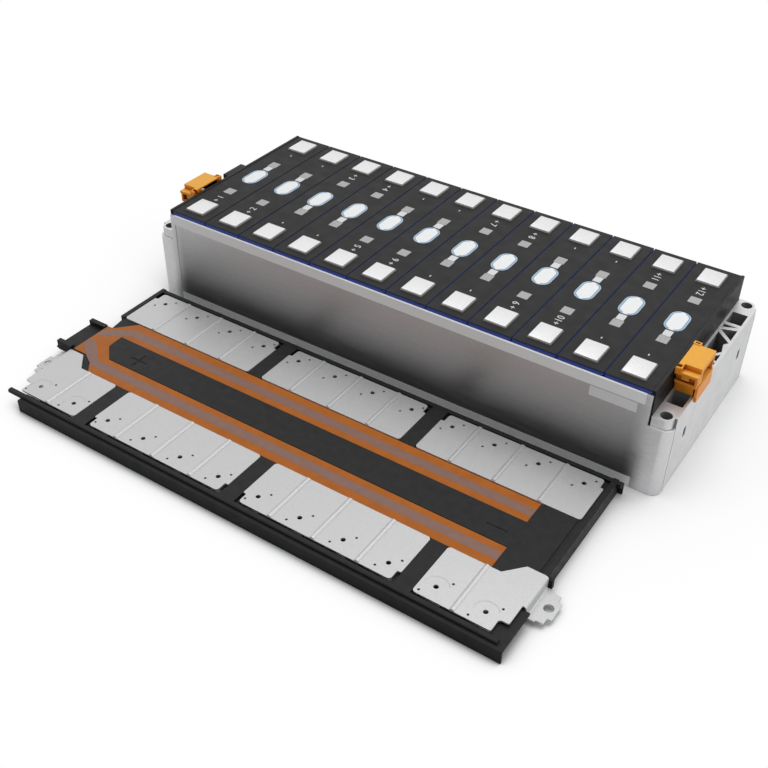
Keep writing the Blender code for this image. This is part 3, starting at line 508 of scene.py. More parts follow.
side_metal = finish("rolled_side_sheet", ROLLED, 0.46, metallic=1.0)
vary_colour(side_metal, ROLLED, 0.04, 600, (0.3, 1, 1))
vary_gloss(side_metal, 0.42, 0.52, 300, (0.1, 1, 1))
add_grain(side_metal, 1500, 0.00009, 0.45, (0.5, 1, 1))
# Painted reflection of the dark surroundings: the sheet grows darker towards the floor.
paint_reflection_downwards(side_metal, REFLECTION_GREYS, REFLECTION_REACH, REFLECTION_END)
# Painted light: the edge bands are matt and painted paler, as if they leaned up to the lamps.
blast_and_light_edges(side_metal, BLASTED_AND_LIT, BAND_LOW, BAND_HIGH, BAND_REACH)
print("side sheet: greys at", len(REFLECTION_GREYS), "heights, bands up to", BAND_REACH, "m from the middle")

# %% [markdown]
# ## Mouldings
# The tray and the end walls are black mouldings, the terminal covers orange ones. Their upright
# faces get painted shade, and on the orange ones the corners that near surfaces close in get a
# deeper painted shade. More lamps and bounces could show that too, but slowly. Two small tints
# paint it at once, by the way a face points and by how closed in it is.

# %% Mouldings
# Painted shade on upright faces: below FLAT_FROM a face gets the full tint, above FLAT_TO none.
FLAT_FROM, FLAT_TO = 0.3, 0.8            # how far up a face points: below tinted, above plain
# Painted shade in corners: the openness at which the tint is full, and at which it is gone.
CLOSED, FREE = 0.25, 0.85                # openness of a full tint, and of none
PLAIN = (1, 1, 1)


def paint_side_shade(material, tint):
    """Painted shade: deepen a colour on the faces that stand upright."""
    tree, _ = surface(material)
    shape = tree.nodes.new("ShaderNodeNewGeometry")
    split = tree.nodes.new("ShaderNodeSeparateXYZ")
    tree.links.new(shape.outputs["True Normal"], split.inputs[0])
    ramp = colour_ramp(tree, split.outputs["Z"], FLAT_FROM, tint, FLAT_TO, PLAIN)
    multiply_colour(material, ramp)


def paint_corner_shade(material, tint, distance):
    """Painted shade: deepen a colour towards the tint where near surfaces close it in."""
    tree, _ = surface(material)
    ramp = colour_ramp(tree, openness(tree, distance, 16), CLOSED, tint, FREE, PLAIN)
    multiply_colour(material, ramp)


MOULD = (0.025, 0.025, 0.025)
mould_black = finish("black_moulding", MOULD, 0.50, specular=0.16)
vary_colour(mould_black, MOULD, 0.15, 120)
vary_gloss(mould_black, 0.42, 0.56, 150)
add_grain(mould_black, 1400, 0.00006, 0.4)
# Painted shade on the upright faces of the black moulding.
paint_side_shade(mould_black, (0.35, 0.35, 0.35))

ORANGE = (0.95, 0.46, 0.060)
mould_orange = finish("orange_moulding", ORANGE, 0.50, specular=0.3)
vary_colour(mould_orange, ORANGE, 0.03, 220)
vary_gloss(mould_orange, 0.36, 0.50, 260)
add_grain(mould_orange, 1500, 0.00006, 0.35)
# Painted shade on the upright faces of the orange moulding.
paint_side_shade(mould_orange, (1.0, 0.72, 0.40))
# Painted shade in the corners of the orange moulding.
paint_corner_shade(mould_orange, (0.45, 0.19, 0.08), 0.007)

SOCKET = (0.004, 0.004, 0.004)
socket_black = finish("socket_moulding", SOCKET, 0.40, specular=0.2)
vary_colour(socket_black, SOCKET, 0.2, 300)
add_grain(socket_black, 1400, 0.00005, 0.3)

RIM = (0.23, 0.215, 0.15)
rim_plastic = finish("terminal_rim", RIM, 0.5)
vary_colour(rim_plastic, RIM, 0.10, 500)
print("mouldings:", [plastic.name for plastic in (mould_black, mould_orange, socket_black,
                                                  rim_plastic)])

# %% [markdown]
# ## Sheets and films
# A matt black sheet lies on each cell, blue film wraps it, and a pale film covers its vent. The
# flexible circuit is an orange laminate through which its copper shows dull and mauve. The copper
# could lie under a clear layer, but at this size one colour for each looks the same.

# %% Sheets and films
SHEET = (0.019, 0.019, 0.0185)
sheet_black = finish("matt_black_sheet", SHEET, 0.62, specular=0.25)
vary_colour(sheet_black, SHEET, 0.12, 180)
vary_gloss(sheet_black, 0.55, 0.70, 90)
add_grain(sheet_black, 1600, 0.00005, 0.4)

BLUE = (0.016, 0.048, 0.32)
film_blue = finish("blue_film", BLUE, 0.38)
vary_colour(film_blue, BLUE, 0.12, 160)
vary_gloss(film_blue, 0.30, 0.46, 220)
add_grain(film_blue, 500, 0.00008, 0.3)

FLEX = (0.46, 0.130, 0.012)
flex_film = finish("flex_laminate", FLEX, 0.44, specular=0.25)
vary_colour(flex_film, FLEX, 0.07, 90)
vary_gloss(flex_film, 0.30, 0.44, 130)
add_grain(flex_film, 420, 0.00005, 0.3)

BAND = (0.26, 0.135, 0.10)
band_film = finish("copper_under_film", BAND, 0.36)
vary_colour(band_film, BAND, 0.06, 140)
vary_gloss(band_film, 0.30, 0.42, 200)

VENT = (0.50, 0.63, 0.75)
vent_film = finish("pale_vent_film", VENT, 0.45)
vary_colour(vent_film, VENT, 0.02, 300)
add_grain(vent_film, 700, 0.00004, 0.3)

VENT_WHITE = (0.98, 0.98, 0.98)
vent_white = finish("white_vent_face", VENT_WHITE, 0.45)
vary_colour(vent_white, VENT_WHITE, 0.02, 300)
add_grain(vent_white, 700, 0.00004, 0.3)
print("sheets and films:", [film.name for film in (sheet_black, film_blue, flex_film, band_film,
                                                   vent_film, vent_white)])

# %% [markdown]
# ## Inks
# Marks on the cells are printed in white and in grey, and a light blue ring lies round each vent.
# Ink has hardly any relief, so a colour that wanders a little is enough.

# %% Inks
INKS = {"light_blue_ring": ((0.27, 0.43, 0.60), 0.45, 0.06, 500),
        "white_ink": ((0.80, 0.80, 0.80), 0.55, 0.04, 900),
        "grey_ink": ((0.46, 0.46, 0.46), 0.55, 0.14, 1700)}
inks = {}
for name, (colour, roughness, spread, scale) in INKS.items():
    inks[name] = finish(name, colour, roughness)
    vary_colour(inks[name], colour, spread, scale)
print("inks:", list(inks))

# %% [markdown]
# ## Cutting away and building on
# Some copies of solids are shaped further before their edges are rounded. A detail could be drawn
# by insets and extrusions of single faces, but the solids are triangles, where a face has no neat
# border. A Boolean with a block cuts or adds the same form wherever the triangles lie.

# %% Helpers for cutting away and building on


def work_on(piece, operation, x, y, z):
    """One Boolean with a block. On a piece of the left end the block is mirrored in X."""
    if "_left" in piece.name:
        x = (-x[1], -x[0])
    tool = block("tool", (x[0], y[0], z[0]), (x[1], y[1], z[1]))
    take(piece)
    form = piece.modifiers.new("form", "BOOLEAN")
    form.operation = operation
    form.object = tool
    bpy.ops.object.modifier_apply(modifier=form.name)
    bpy.data.objects.remove(tool)


def cut_away(piece, x, y, z):
    work_on(piece, "DIFFERENCE", x, y, z)


def build_on(piece, x, y, z):
    work_on(piece, "UNION", x, y, z)


# %% [markdown]
# ## Terminal covers
# A terminal cover is two orange mouldings, one on the other. The upper one has a stepped front
# with a lip that stands out, a thin ear in front and a slit one behind, and it is open to both
# sides over the metal block. The lower one is set back under a flange, and a narrow gap parts its
# front from the plate that hooks over the end of the module. The forms are given for the right
# cover, in the order in which they are cut and built, and the left one mirrors them.

# %% Places on the covers
COVER_IN, LID_OUT, BASE_OUT = 0.2742, 0.2945, 0.2953
COVER_FRONT, COVER_BACK = -0.0660, -0.0300
BASE_FOOT, BASE_TOP, LID_FLOOR, LID_TOP = 0.0840, 0.0952, 0.0955, 0.1132
WALL = 0.0024
FAR, OVER, HAIR = 0.01, 0.001, 0.0001    # past a face, into its wall, and barely off it
LIP_FRONT = COVER_FRONT - 0.0050
STEP = LID_TOP - 0.0049                  # top of the lip
LIP = STEP - 0.0026                      # underside of the lip
SKIRT_FRONT = LIP_FRONT + 0.0012
FLANGE_FRONT = COVER_FRONT - 0.0030
FLANGE = (LID_FLOOR + HAIR, LID_FLOOR + 0.0024)
CLIP_X = (COVER_IN + 0.0055, COVER_IN + 0.0125)
CLIP_FRONT, CLIP_FOOT = COVER_FRONT - 0.0032, 0.1004
EAR_X, EAR_BACK = (COVER_IN - 0.0005, COVER_IN + 0.0062), COVER_BACK + 0.0040
EAR_Z, EAR_TRIM = (LID_TOP - 0.0085, LID_TOP + 0.0005), COVER_BACK + 0.0038
EAR_GAP = (COVER_IN - FAR, COVER_IN + 0.0037)
SLIT_X = (COVER_IN + 0.0007, COVER_IN + 0.0050)
SLIT_Y = (COVER_BACK + 0.0006, COVER_BACK + 0.0025)
RAIL_FRONT, RAIL_Z = -0.0584, (0.1074, 0.1098)
OPENING, OPENING_TOP = (-0.0582, COVER_BACK - WALL), 0.1067
HOOK = BASE_OUT - WALL                   # inner face of the plate that hooks over the end
print("covers:", in_mm([(COVER_IN, COVER_FRONT, BASE_FOOT), (BASE_OUT, COVER_BACK, LID_TOP)]))

# %% [markdown]
# Each line below is one block. Those that stand past a face by FAR cut right through it, and those
# that reach in by OVER join a wall without a seam.

# %% Shaping the covers


def shape_lid(lid):
    toe = (COVER_FRONT - FAR, COVER_FRONT + HAIR)
    root = COVER_FRONT + OVER
    above = (STEP, LID_TOP + FAR)
    # The front is set back, then filled again behind the lip, and the lip stands out.
    cut_away(lid, (COVER_IN - FAR, LID_OUT + FAR), toe, (LID_FLOOR - FAR, LIP + 2 * HAIR))
    build_on(lid, (COVER_IN + WALL, LID_OUT - WALL / 2),
             (COVER_FRONT - OVER / 2, COVER_FRONT + 0.0065), (LIP - 0.0004, LID_TOP))
    build_on(lid, (COVER_IN, LID_OUT), (LIP_FRONT, root), (LIP, LID_TOP - 0.0006))
    # Below the lip are a thin skirt at the outer side, a flange at the foot, and the clip.
    build_on(lid, (LID_OUT - WALL, LID_OUT - HAIR), (SKIRT_FRONT, root), (LID_FLOOR, LIP + OVER))
    build_on(lid, (COVER_IN + HAIR, LID_OUT - WALL / 2), (FLANGE_FRONT, root), FLANGE)
    build_on(lid, CLIP_X, (CLIP_FRONT, root), (CLIP_FOOT, LIP + OVER))
    # The ear behind is made, and trimmed to its length.
    build_on(lid, EAR_X, (COVER_BACK - OVER, EAR_BACK), EAR_Z)
    cut_away(lid, (COVER_IN - FAR, COVER_IN + FAR), (EAR_TRIM, COVER_BACK + FAR),
             (LID_TOP - FAR, LID_TOP + FAR))
    # The lip is cut down to its step, which leaves the ear in front. Then both ears get gaps.
    cut_away(lid, (COVER_IN + WALL * 2, LID_OUT + FAR), (LIP_FRONT - FAR, COVER_FRONT + WALL),
             above)
    cut_away(lid, EAR_GAP, (LIP_FRONT + 0.0014, COVER_FRONT), above)
    cut_away(lid, SLIT_X, SLIT_Y, above)
    # A rail strengthens the outer side, and both sides are opened over the metal block.
    build_on(lid, (LID_OUT - WALL + HAIR, LID_OUT - HAIR), (RAIL_FRONT, COVER_BACK - OVER), RAIL_Z)
    cut_away(lid, (LID_OUT - WALL - OVER, LID_OUT + FAR), OPENING, (LID_FLOOR - FAR, OPENING_TOP))
    cut_away(lid, (COVER_IN - FAR, COVER_IN + WALL), OPENING,
             (LID_FLOOR - FAR, LID_TOP - WALL / 2))


def shape_base(base):
    # The front is set back under the flange, and a gap is cut behind the hook.
    cut_away(base, (COVER_IN - FAR, HOOK - OVER), (COVER_FRONT - FAR, COVER_FRONT + 0.0014),
             (BASE_FOOT - FAR, BASE_TOP - 0.0030))
    cut_away(base, (HOOK - 0.0016, HOOK), (COVER_FRONT - FAR, COVER_FRONT + WALL * 2),
             (BASE_FOOT - FAR, BASE_TOP + FAR))


# %% [markdown]
# ## End plates and socket
# Each end plate has two sunk eyes in its outer face, probably for the tool that lifts the module,
# and a joint line where the side plates' sheet wraps round to it. The line could be painted, but a
# real groove stays dark in any light. The socket for the sensing plug stands up over the end of
# the cells, so its top face is pulled up.

# %% Shaping the end plates and the socket
END_FACE = 0.2930
EYE_AT, EYE_HALF, EYE_DEPTH, EYE_Z = 0.0700, 0.0032, 0.0023, (0.0425, 0.0535)
JOINT, JOINT_DEPTH, WRAP_TOP = (0.1009, 0.1019), 0.0015, 0.0738
SOCKET_TOP, SOCKET_RISE = 0.102, 0.0050


def shape_end_plate(plate):
    for way in (-1, 1):
        eye = (way * EYE_AT - EYE_HALF, way * EYE_AT + EYE_HALF)
        cut_away(plate, (END_FACE - EYE_DEPTH, END_FACE + FAR), eye, EYE_Z)
        joint = sorted(way * place for place in JOINT)
        cut_away(plate, (END_FACE - JOINT_DEPTH, END_FACE + FAR), joint, (-FAR, WRAP_TOP))


def shape_socket(socket):
    pick(socket, "FACE", lambda polygon: polygon.normal.z > 0.9 and polygon.center.z > SOCKET_TOP)
    bpy.ops.transform.translate(value=(0, 0, SOCKET_RISE))
    bpy.ops.object.mode_set(mode="OBJECT")


# %% [markdown]
# ## Rounded copies of the solids
# A CAD edge is perfectly sharp, and no real edge is. The solids themselves stay untouched, because
# they are also what the physics uses. So each solid whose edges the light should catch is copied,
# its loose triangles are merged back into whole faces, the copy is shaped where it needs it, and
# a Bevel rounds its edges. The copy then stands for the solid.

# %% Rounded copies
SAME_PLACE, SAME_PLANE = 0.00001, 0.5    # metres and degrees


def rounded_copy(node, width, material, slot, segments=2, even=False, shape=None, merge=True):
    """A copy of a solid, shaped, with its edges rounded to a width, that stands for the solid."""
    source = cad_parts[node]
    copy = source.copy()
    copy.data = source.data.copy()
    copy.parent = None
    copy.name = node + "_rounded"
    for key in list(copy.keys()):
        del copy[key]
    scene.collection.objects.link(copy)
    take(copy)
    bpy.ops.object.mode_set(mode="EDIT")
    bpy.ops.mesh.select_all(action="SELECT")
    bpy.ops.mesh.remove_doubles(threshold=SAME_PLACE)
    if merge:
        bpy.ops.mesh.dissolve_limited(angle_limit=math.radians(SAME_PLANE))
    bpy.ops.object.mode_set(mode="OBJECT")
    if shape:
        shape(copy)
    soften(copy, width, segments, even=even)
    finish_piece(copy, material, slot, node)
    print(copy.name, "has", len(copy.data.polygons), "faces")
    return copy


# %% [markdown]
# The end plates get a darker grey inside their pockets, bolt holes, eyes and joints. In the
# pockets, holes and eyes it is painted shade, in the joints a dark joint line. It could be picked
# face by face on the screen. Here the faces are found by their place, which serves both ends and
# both sides at once.

# %% Painted shade inside the end plates' pockets
BOLT_X, BOLT_Y, BOLT_REACH = 0.2830, 0.1022, 0.0058
POCKET_X, POCKET_Y, POCKET_TOP = (0.2752, 0.2908), 0.0955, 0.0834
SUNK_EYE = ((0.2905, 0.29285), (0.0660, 0.0740), (0.0425, 0.0540))
SUNK_JOINT = ((0.2910, 0.29285), (0.1006, 0.1022))


def within(span, value):
    return span[0] < value < span[1]


def paint_pocket_shade_and_joints(plate):
    """Give the faces inside the sunk places of an end plate a darker grey: painted shade in
    the pockets, holes and eyes, and a dark line in the joints.
    """
    plate.data.materials.append(pocket_shade_and_joint_metal)
    for polygon in plate.data.polygons:
        x, y, z = abs(polygon.center.x), abs(polygon.center.y), polygon.center.z
        in_hole = math.hypot(x - BOLT_X, y - BOLT_Y) < BOLT_REACH
        in_pocket = within(POCKET_X, x) and y < POCKET_Y
        in_eye = all(map(within, SUNK_EYE, (x, y, z))) and polygon.normal.z < 0.5
        in_joint = all(map(within, SUNK_JOINT, (x, y))) and z < WRAP_TOP
        upright = abs(polygon.normal.z) < 0.5
        if (upright and z < POCKET_TOP and (in_hole or in_pocket)) or in_eye or in_joint:
            polygon.material_index = 1
    dark = sum(polygon.material_index for polygon in plate.data.polygons)
    print(plate.name, "has", dark, "dark faces")


# %% [markdown]
# The radius of each edge is what its process leaves: a third of a millimetre on a casting, a fifth
# on a small moulding, and a tenth on bent sheet. The tray's triangles aren't merged, because its
# large faces have many holes, and merging left false creases there.

# %% Make the copies
for side in ("left", "right"):
    plate = rounded_copy("end_plate_" + side, 0.00035, cast_metal, "cast_aluminium",
                         shape=shape_end_plate)
    # painted shade inside the pockets, holes and eyes, and a dark joint line
    paint_pocket_shade_and_joints(plate)
    rounded_copy("cover_base_" + side, 0.0002, mould_orange, "orange_plastic", shape=shape_base)
    rounded_copy("cover_lid_" + side, 0.0002, mould_orange, "orange_plastic", shape=shape_lid)
    rounded_copy("terminal_nut_" + side, 0.0004, nut_metal, "nut_steel")
    rounded_copy("end_wall_" + side, 0.0004, mould_black, "black_plastic")
for side in ("near", "far"):
    rounded_copy("side_plate_" + side, 0.00012, side_metal, "side_aluminium", segments=1)
rounded_copy("busbar_tray", 0.00020, mould_black, "black_plastic", segments=1, even=True,
             merge=False)
rounded_copy("sensing_socket", 0.0003, socket_black, "black_plastic", shape=shape_socket)

# %% [markdown]
# ## Solids that stay
# Cells, sheets, films and busbars are right as they are: their edges are too thin or too soft to
# catch a light of their own. They keep their mesh, and only change material.

# %% Finishes on the solids that stay
COUNT = 12                               # cells in the row
BUSBARS = ("far_1", "far_2", "far_3", "near_1", "near_2", "near_3", "near_4")

stays = {"bottom_sheet": sheet_black, "flex_circuit": flex_film}
for number in range(1, COUNT + 1):
    stays[f"cell_{number:02d}"] = film_blue
    stays[f"top_sheet_{number:02d}"] = sheet_black
    stays[f"vent_film_{number:02d}"] = vent_film
for name in BUSBARS:
    stays["busbar_" + name] = busbar_metal
for node, material in stays.items():
    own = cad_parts[node]
    own.data.materials.clear()
    own.data.materials.append(material)
print("refinished:", len(stays), "solids")

# %% [markdown]
# ## Terminals
# Each cell has two square aluminium faces on a plastic rim, and in the middle of a face is a small
# dimple, left by the spindle that closes the cell. An array modifier could repeat one face over
# the module, but it would still have to be applied. So one is modelled and then copied along the
# row in edit mode. The copies of one kind stay one object, as they are all alike.

# %% Terminal faces and rims
PITCH = 0.045
FIRST = -5.5 * PITCH                     # middle of the first cell
SHEET_TOP = 0.1092
PAD_TOP = 0.1113                         # top of a solid's terminal
PAD_Y = 0.0875
FACE_TOP = PAD_TOP + 0.00018
FACE_HALF_X, FACE_HALF_Y, FACE_ROUND = 0.01105, 0.0128, 0.0005
RIM_HALF_X, RIM_HALF_Y, RIM_ROUND = 0.01185, 0.0136, 0.0002
DIMPLE_R, DIMPLE_DEPTH = 0.0016, 0.00014


def repeat(piece, count, step):
    """Copy all that a piece has, count - 1 times, each a step further."""
    pick(piece, "VERT", lambda vertex: True)
    for _ in range(count - 1):
        bpy.ops.mesh.duplicate_move(TRANSFORM_OT_translate={"value": step})
    bpy.ops.object.mode_set(mode="OBJECT")


def dimple(piece, place, radius, depth):
    """Press the cap of a flat ball into the top of a piece."""
    bpy.ops.object.select_all(action="DESELECT")
    bpy.ops.mesh.primitive_uv_sphere_add(segments=24, ring_count=12, radius=radius,
                                         location=place)
    ball = bpy.context.object
    ball.scale.z = depth / radius
    settle(ball)
    take(piece)
    press = piece.modifiers.new("dimple", "BOOLEAN")
    press.operation = "DIFFERENCE"
    press.object = ball
    bpy.ops.object.modifier_apply(modifier=press.name)
    bpy.data.objects.remove(ball)


face = block("terminal_faces", (FIRST - FACE_HALF_X, -PAD_Y - FACE_HALF_Y, SHEET_TOP + 0.0004),
             (FIRST + FACE_HALF_X, -PAD_Y + FACE_HALF_Y, FACE_TOP))
soften(face, FACE_ROUND, 3)
dimple(face, (FIRST, -PAD_Y, FACE_TOP), DIMPLE_R, DIMPLE_DEPTH)

rim = block("terminal_rims", (FIRST - RIM_HALF_X, -PAD_Y - RIM_HALF_Y, SHEET_TOP - 0.0004),
            (FIRST + RIM_HALF_X, -PAD_Y + RIM_HALF_Y, SHEET_TOP + 0.00095))
soften(rim, RIM_ROUND, 1)

for piece, material, slot in ((face, pad_metal, "busbar_aluminium"),
                              (rim, rim_plastic, "black_plastic")):
    repeat(piece, 2, (0, 2 * PAD_Y, 0))
    repeat(piece, COUNT, (PITCH, 0, 0))
    finish_piece(piece, material, slot)
    print(piece.name, "have", len(piece.data.polygons), "faces")

# %% [markdown]
# ## Vents
# The film over each vent shows a pale blue border, a white face inside it, and on the edge of the
# face a blue ring that is broken in the middle of both ends. They could be one painted face, but
# thin plates keep their borders sharp. A circle becomes a race track when its two halves are
# pulled apart. The face is that track raised a little. The ring is the border that an inset
# leaves, with the middle and the faces in the two gaps deleted.

# %% Vent faces and rings
VENT_R = 0.0086
VENT_PULL = 0.0075                       # each half moves this far from the middle
VENT_SIDES = 56
RING_WIDE, RING_THICK, RING_GAP = 0.0012, 0.00010, 13
FACE_SUNK, FACE_THICK = -0.0001, 0.00014


def race_track(name, rise):
    """A flat track over the first vent, at a rise above the film."""
    bpy.ops.object.select_all(action="DESELECT")
    bpy.ops.mesh.primitive_circle_add(vertices=VENT_SIDES, radius=VENT_R, fill_type="NGON",
                                      location=(FIRST, 0, SHEET_TOP + rise),
                                      rotation=(0, 0, math.pi / VENT_SIDES))
    made = bpy.context.object
    made.name = name
    settle(made)
    for way in (-1, 1):
        pick(made, "VERT", lambda vertex: vertex.co.y * way > 0)
        bpy.ops.transform.translate(value=(0, way * VENT_PULL, 0))
    bpy.ops.object.mode_set(mode="OBJECT")
    return made


def raise_flat(piece, height):
    """Give a flat piece its thickness, and turn its faces out."""
    pick(piece, "FACE", lambda polygon: True)
    bpy.ops.mesh.extrude_region_move(TRANSFORM_OT_translate={"value": (0, 0, height)})
    bpy.ops.mesh.select_all(action="SELECT")
    bpy.ops.mesh.normals_make_consistent(inside=False)
    bpy.ops.object.mode_set(mode="OBJECT")


def in_gap(polygon):
    """Is this face of the ring in one of its two gaps, RING_GAP degrees to either side?"""
    middle = polygon.center - Vector((FIRST, 0, SHEET_TOP))
    ahead = abs(middle.y) - VENT_PULL
    return ahead > 0 and abs(math.degrees(math.atan2(middle.x, ahead))) < RING_GAP


vent_face = race_track("vent_faces", FACE_SUNK)
raise_flat(vent_face, FACE_THICK)

ring = race_track("vent_rings", 0.0)
pick(ring, "FACE", lambda polygon: True)
bpy.ops.mesh.inset(thickness=RING_WIDE)
bpy.ops.mesh.delete(type="FACE")
pick(ring, "FACE", in_gap)
bpy.ops.mesh.delete(type="FACE")
bpy.ops.object.mode_set(mode="OBJECT")
raise_flat(ring, RING_THICK)

for piece, material in ((vent_face, vent_white), (ring, inks["light_blue_ring"])):
    repeat(piece, COUNT, (PITCH, 0, 0))
    finish_piece(piece, material, "vent_white")
    print(piece.name, "have", len(piece.data.polygons), "faces")

# %% [markdown]
# ## Printed marks
# On each black sheet are a plus and a number at one terminal, a short tick at the other, two grey
# squares and a white tag. Every second pair of cells is turned round. Print could be painted into
# the sheet's material, but then its edges would be as coarse as the picture. As plates thinner
# than a hair the marks stay crisp, and a text object gives the numbers.

# %% Helpers for the printed marks
INK = 0.00007                            # thickness over the sheet
INK_FOOT = SHEET_TOP - 0.0001
MARK_ROUND = 0.0004


def patch(name, x0, x1, y0, y1):
    """A thin plate with round corners."""
    made = block(name, (x0, y0, INK_FOOT), (x1, y1, SHEET_TOP + INK))
    pick(made, "EDGE", lambda edge: abs((made.data.vertices[edge.vertices[0]].co
                                         - made.data.vertices[edge.vertices[1]].co).z) > 0.0001)
    bpy.ops.mesh.bevel(offset=MARK_ROUND, segments=2)
    bpy.ops.object.mode_set(mode="OBJECT")
    return made


def plus_sign(x, y, arm, half):
    """A small square whose four sides are pulled out."""
    made = block("plus", (x - half, y - half, INK_FOOT), (x + half, y + half, SHEET_TOP + INK))
    for way in (Vector((1, 0, 0)), Vector((-1, 0, 0)), Vector((0, 1, 0)), Vector((0, -1, 0))):
        across = Vector((way.y, way.x, 0))
        pick(made, "FACE", lambda polygon: polygon.normal.dot(way) > 0.9
             and abs((polygon.center - Vector((x, y, 0))).dot(across)) < half * 0.5)
        bpy.ops.mesh.extrude_region_move(TRANSFORM_OT_translate={"value": way * arm})
        bpy.ops.object.mode_set(mode="OBJECT")
    return made


def numeral(text, x, y, size):
    """A number as a thin mesh, read from the right end of the module."""
    bpy.ops.object.select_all(action="DESELECT")
    bpy.ops.object.text_add(location=(0, 0, 0))
    made = bpy.context.object
    made.data.body = text
    made.data.align_x = "CENTER"
    made.data.align_y = "CENTER"
    made.data.size = size
    made.data.extrude = INK / 2
    made.data.resolution_u = 3
    bpy.ops.object.convert(target="MESH")
    made.rotation_euler.z = math.pi / 2
    made.location = (x, y, SHEET_TOP + INK / 2)
    settle(made)
    return made


def put_on_cell(piece, number):
    """Move a mark from the middle of the module to its cell, turned round on some cells."""
    if number % 4 in (2, 3):
        piece.rotation_euler.z = math.pi
        settle(piece)
    piece.location.x = FIRST + number * PITCH
    settle(piece)


# %% [markdown]
# One cell's marks are laid out round the middle of the module, where X and Y are easy to measure,
# and then moved to their cell. At the end all marks of one ink are joined.

# %% Printed marks
TAG = (-0.0040, 0.0040, 0.0185, 0.0280)
TICK = (0.0006, 0.0017, 0.0622, 0.0651)
SQUARES = ((-0.0054, 0.0051, 0.0285, 0.0400), (-0.0060, 0.0050, -0.0475, -0.0364))
PLUS_Y, PLUS_ARM, PLUS_HALF = -0.0660, 0.0019, 0.0004
NUMERAL_Y, NUMERAL_SIZE = -0.0580, 0.0105

whites, greys = [], []
for number in range(COUNT):
    bright = [patch("tag", *TAG), plus_sign(0, PLUS_Y, PLUS_ARM, PLUS_HALF),
              numeral(str(number + 1), 0, NUMERAL_Y, NUMERAL_SIZE), patch("tick", *TICK)]
    dull = [patch("square", *square) for square in SQUARES]
    for mark in bright + dull:
        put_on_cell(mark, number)
    whites += bright
    greys += dull
for name, marks, ink in (("white_marks", whites, "white_ink"), ("grey_marks", greys, "grey_ink")):
    print(name, "are", len(marks), "plates in one object")
    take(*marks)
    bpy.ops.object.join()
    joined = bpy.context.object
    joined.name = name
    finish_piece(joined, inks[ink], "vent_white")

# %% [markdown]
# ## Bands of the flexible circuit
# Where copper lies inside the orange laminate it shows as a dull mauve band. A band could be a
# curve with a flat profile, but its width changes at the bends. So each is a strip through pairs
# of measured points: it starts as a plane, and its end edge is extruded again and again.

# %% Copper bands
TRAY = Vector((-0.0100, -0.2363, 0.0))   # middle of the tray
FLEX_TOP = 0.0159
BAND_RISE, BAND_THICK = 0.00006, 0.0002
BANDS = {"copper_band_far": [((-268.4, 16.9), (-267.9, 3.3)), ((-254.5, 25.2), (-251.7, 14.1)),
                             ((-240.7, 34.3), (-235.6, 24.2)), ((227.9, 34.8), (227.9, 25.0))],
         "copper_band_near": [((-268.9, -11.0), (-268.7, -1.4)),
                              ((-264.5, -14.5), (-260.1, -3.0)),
                              ((-251.5, -24.7), (-246.0, -14.6)),
                              ((-234.1, -35.0), (-233.4, -24.9)),
                              ((227.9, -34.8), (227.9, -25.0))]}


def ribbon(name, stations, z, thick):
    """A strip through pairs of points in millimetres on the tray, one pair for each station."""
    pairs = [[TRAY + Vector((x / 1000, y / 1000, z)) for x, y in pair] for pair in stations]
    bpy.ops.object.select_all(action="DESELECT")
    bpy.ops.mesh.primitive_plane_add(size=0.01)
    made = bpy.context.object
    made.name = name
    for vertex, corner in zip(made.data.vertices, pairs[0] + pairs[1]):
        vertex.co = corner
    ends = [2, 3]
    for pair in pairs[2:]:
        pick(made, "VERT", lambda vertex: vertex.index in ends)
        bpy.ops.mesh.extrude_edges_move(TRANSFORM_OT_translate={"value": (0, 0, 0)})
        bpy.ops.object.mode_set(mode="OBJECT")
        fresh = [v.index for v in made.data.vertices if v.select]
        fresh.sort(key=lambda index: (made.data.vertices[index].co
                                      - made.data.vertices[ends[0]].co).length)
        for index, corner in zip(fresh, pair):
            made.data.vertices[index].co = corner
        ends = fresh
    raise_flat(made, -thick)
    return made


for name, stations in BANDS.items():
    band = ribbon(name, stations, FLEX_TOP + BAND_RISE, BAND_THICK)
    finish_piece(band, band_film, "flex_orange")
    print(name, "runs through", len(stations), "stations")

# %% [markdown]
# ## Pressed arcs on the outer busbars
# Half round ridges lie round the weld holes of the outer busbars. A torus cut to a part of its
# turn would do, but spin makes just that part: a small circle is stood up and spun round the hole.
# Its two open ends are then closed.

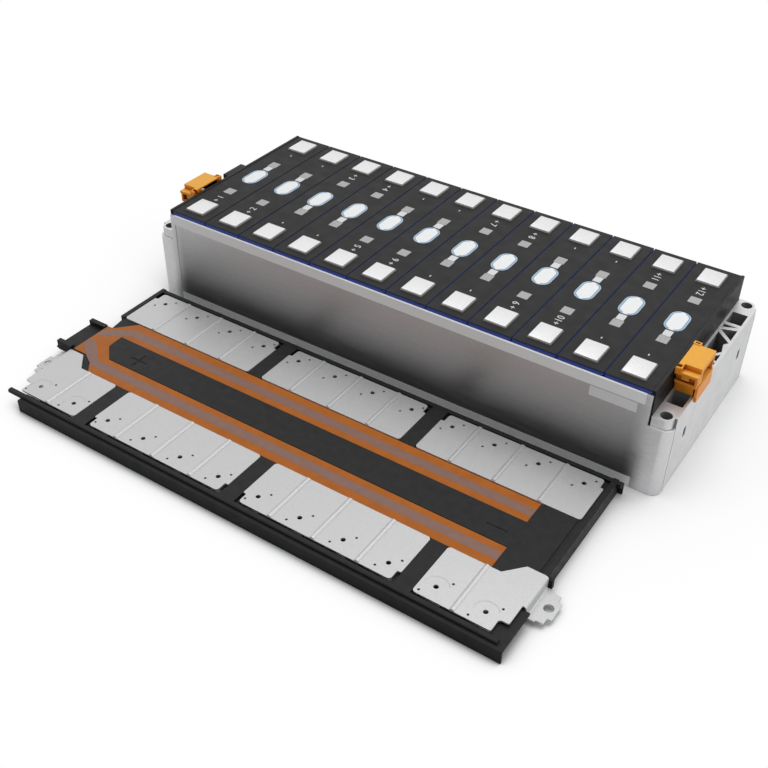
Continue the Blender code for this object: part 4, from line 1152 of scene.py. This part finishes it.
# %% Pressed arcs
BAR_TOP = 0.0170
ARC_R, ARC_THICK, ARC_STEPS, ARC_SIDES = 0.0110, 0.00035, 32, 10
SAME_POINT = 0.000001
ARCS = {"pressed_arc_1": (0, 55, 157), "pressed_arc_2": (1, 55, 157),
        "pressed_arc_3": (10, 29, 148), "pressed_arc_4": (11, 29, 148)}


def pressed_arc(name, cell, start, sweep):
    """An arc round the weld hole of a cell of the near row, from start through sweep degrees."""
    centre = TRAY + Vector((FIRST + cell * PITCH, -PAD_Y, BAR_TOP))
    bpy.ops.object.select_all(action="DESELECT")
    bpy.ops.mesh.primitive_circle_add(vertices=ARC_SIDES, radius=ARC_THICK, fill_type="NOTHING",
                                      location=centre + Vector((ARC_R, 0, 0)),
                                      rotation=(math.pi / 2, 0, 0))
    made = bpy.context.object
    made.name = name
    settle(made)
    pick(made, "VERT", lambda vertex: True)
    bpy.ops.mesh.spin(steps=ARC_STEPS, angle=-math.radians(sweep), center=centre, axis=(0, 0, 1))
    bpy.ops.mesh.select_all(action="SELECT")
    bpy.ops.mesh.remove_doubles(threshold=SAME_POINT)
    bpy.ops.object.mode_set(mode="OBJECT")
    made.matrix_world = (Matrix.Translation(centre)
                         @ Matrix.Rotation(math.radians(start), 4, "Z")
                         @ Matrix.Translation(-centre))
    settle(made)
    pick(made, "EDGE", lambda edge: False)
    bpy.ops.mesh.select_non_manifold()
    bpy.ops.mesh.edge_face_add()
    bpy.ops.mesh.select_all(action="SELECT")
    bpy.ops.mesh.normals_make_consistent(inside=False)
    bpy.ops.object.mode_set(mode="OBJECT")
    bpy.ops.object.shade_smooth_by_angle(angle=math.radians(SHADE_ANGLE))
    finish_piece(made, busbar_metal, "busbar_aluminium")


for name, (cell, start, sweep) in ARCS.items():
    pressed_arc(name, cell, start, sweep)
    print(name, "sweeps", sweep, "degrees")

# %% [markdown]
# ## Tag on the side plate
# The side plate carries one small plain tag near its right end. It is thin sheet, so a block with
# its edges barely rounded is all it needs.

# %% Side tag
TAG_LOW, TAG_HIGH = (0.2150, -0.11205, 0.0825), (0.2595, -0.1118, 0.0930)
tag = block("side_tag", TAG_LOW, TAG_HIGH)
soften(tag, 0.0001, 1)
finish_piece(tag, inks["white_ink"], "vent_white")
print("tag in mm:", in_mm([TAG_LOW, TAG_HIGH]))
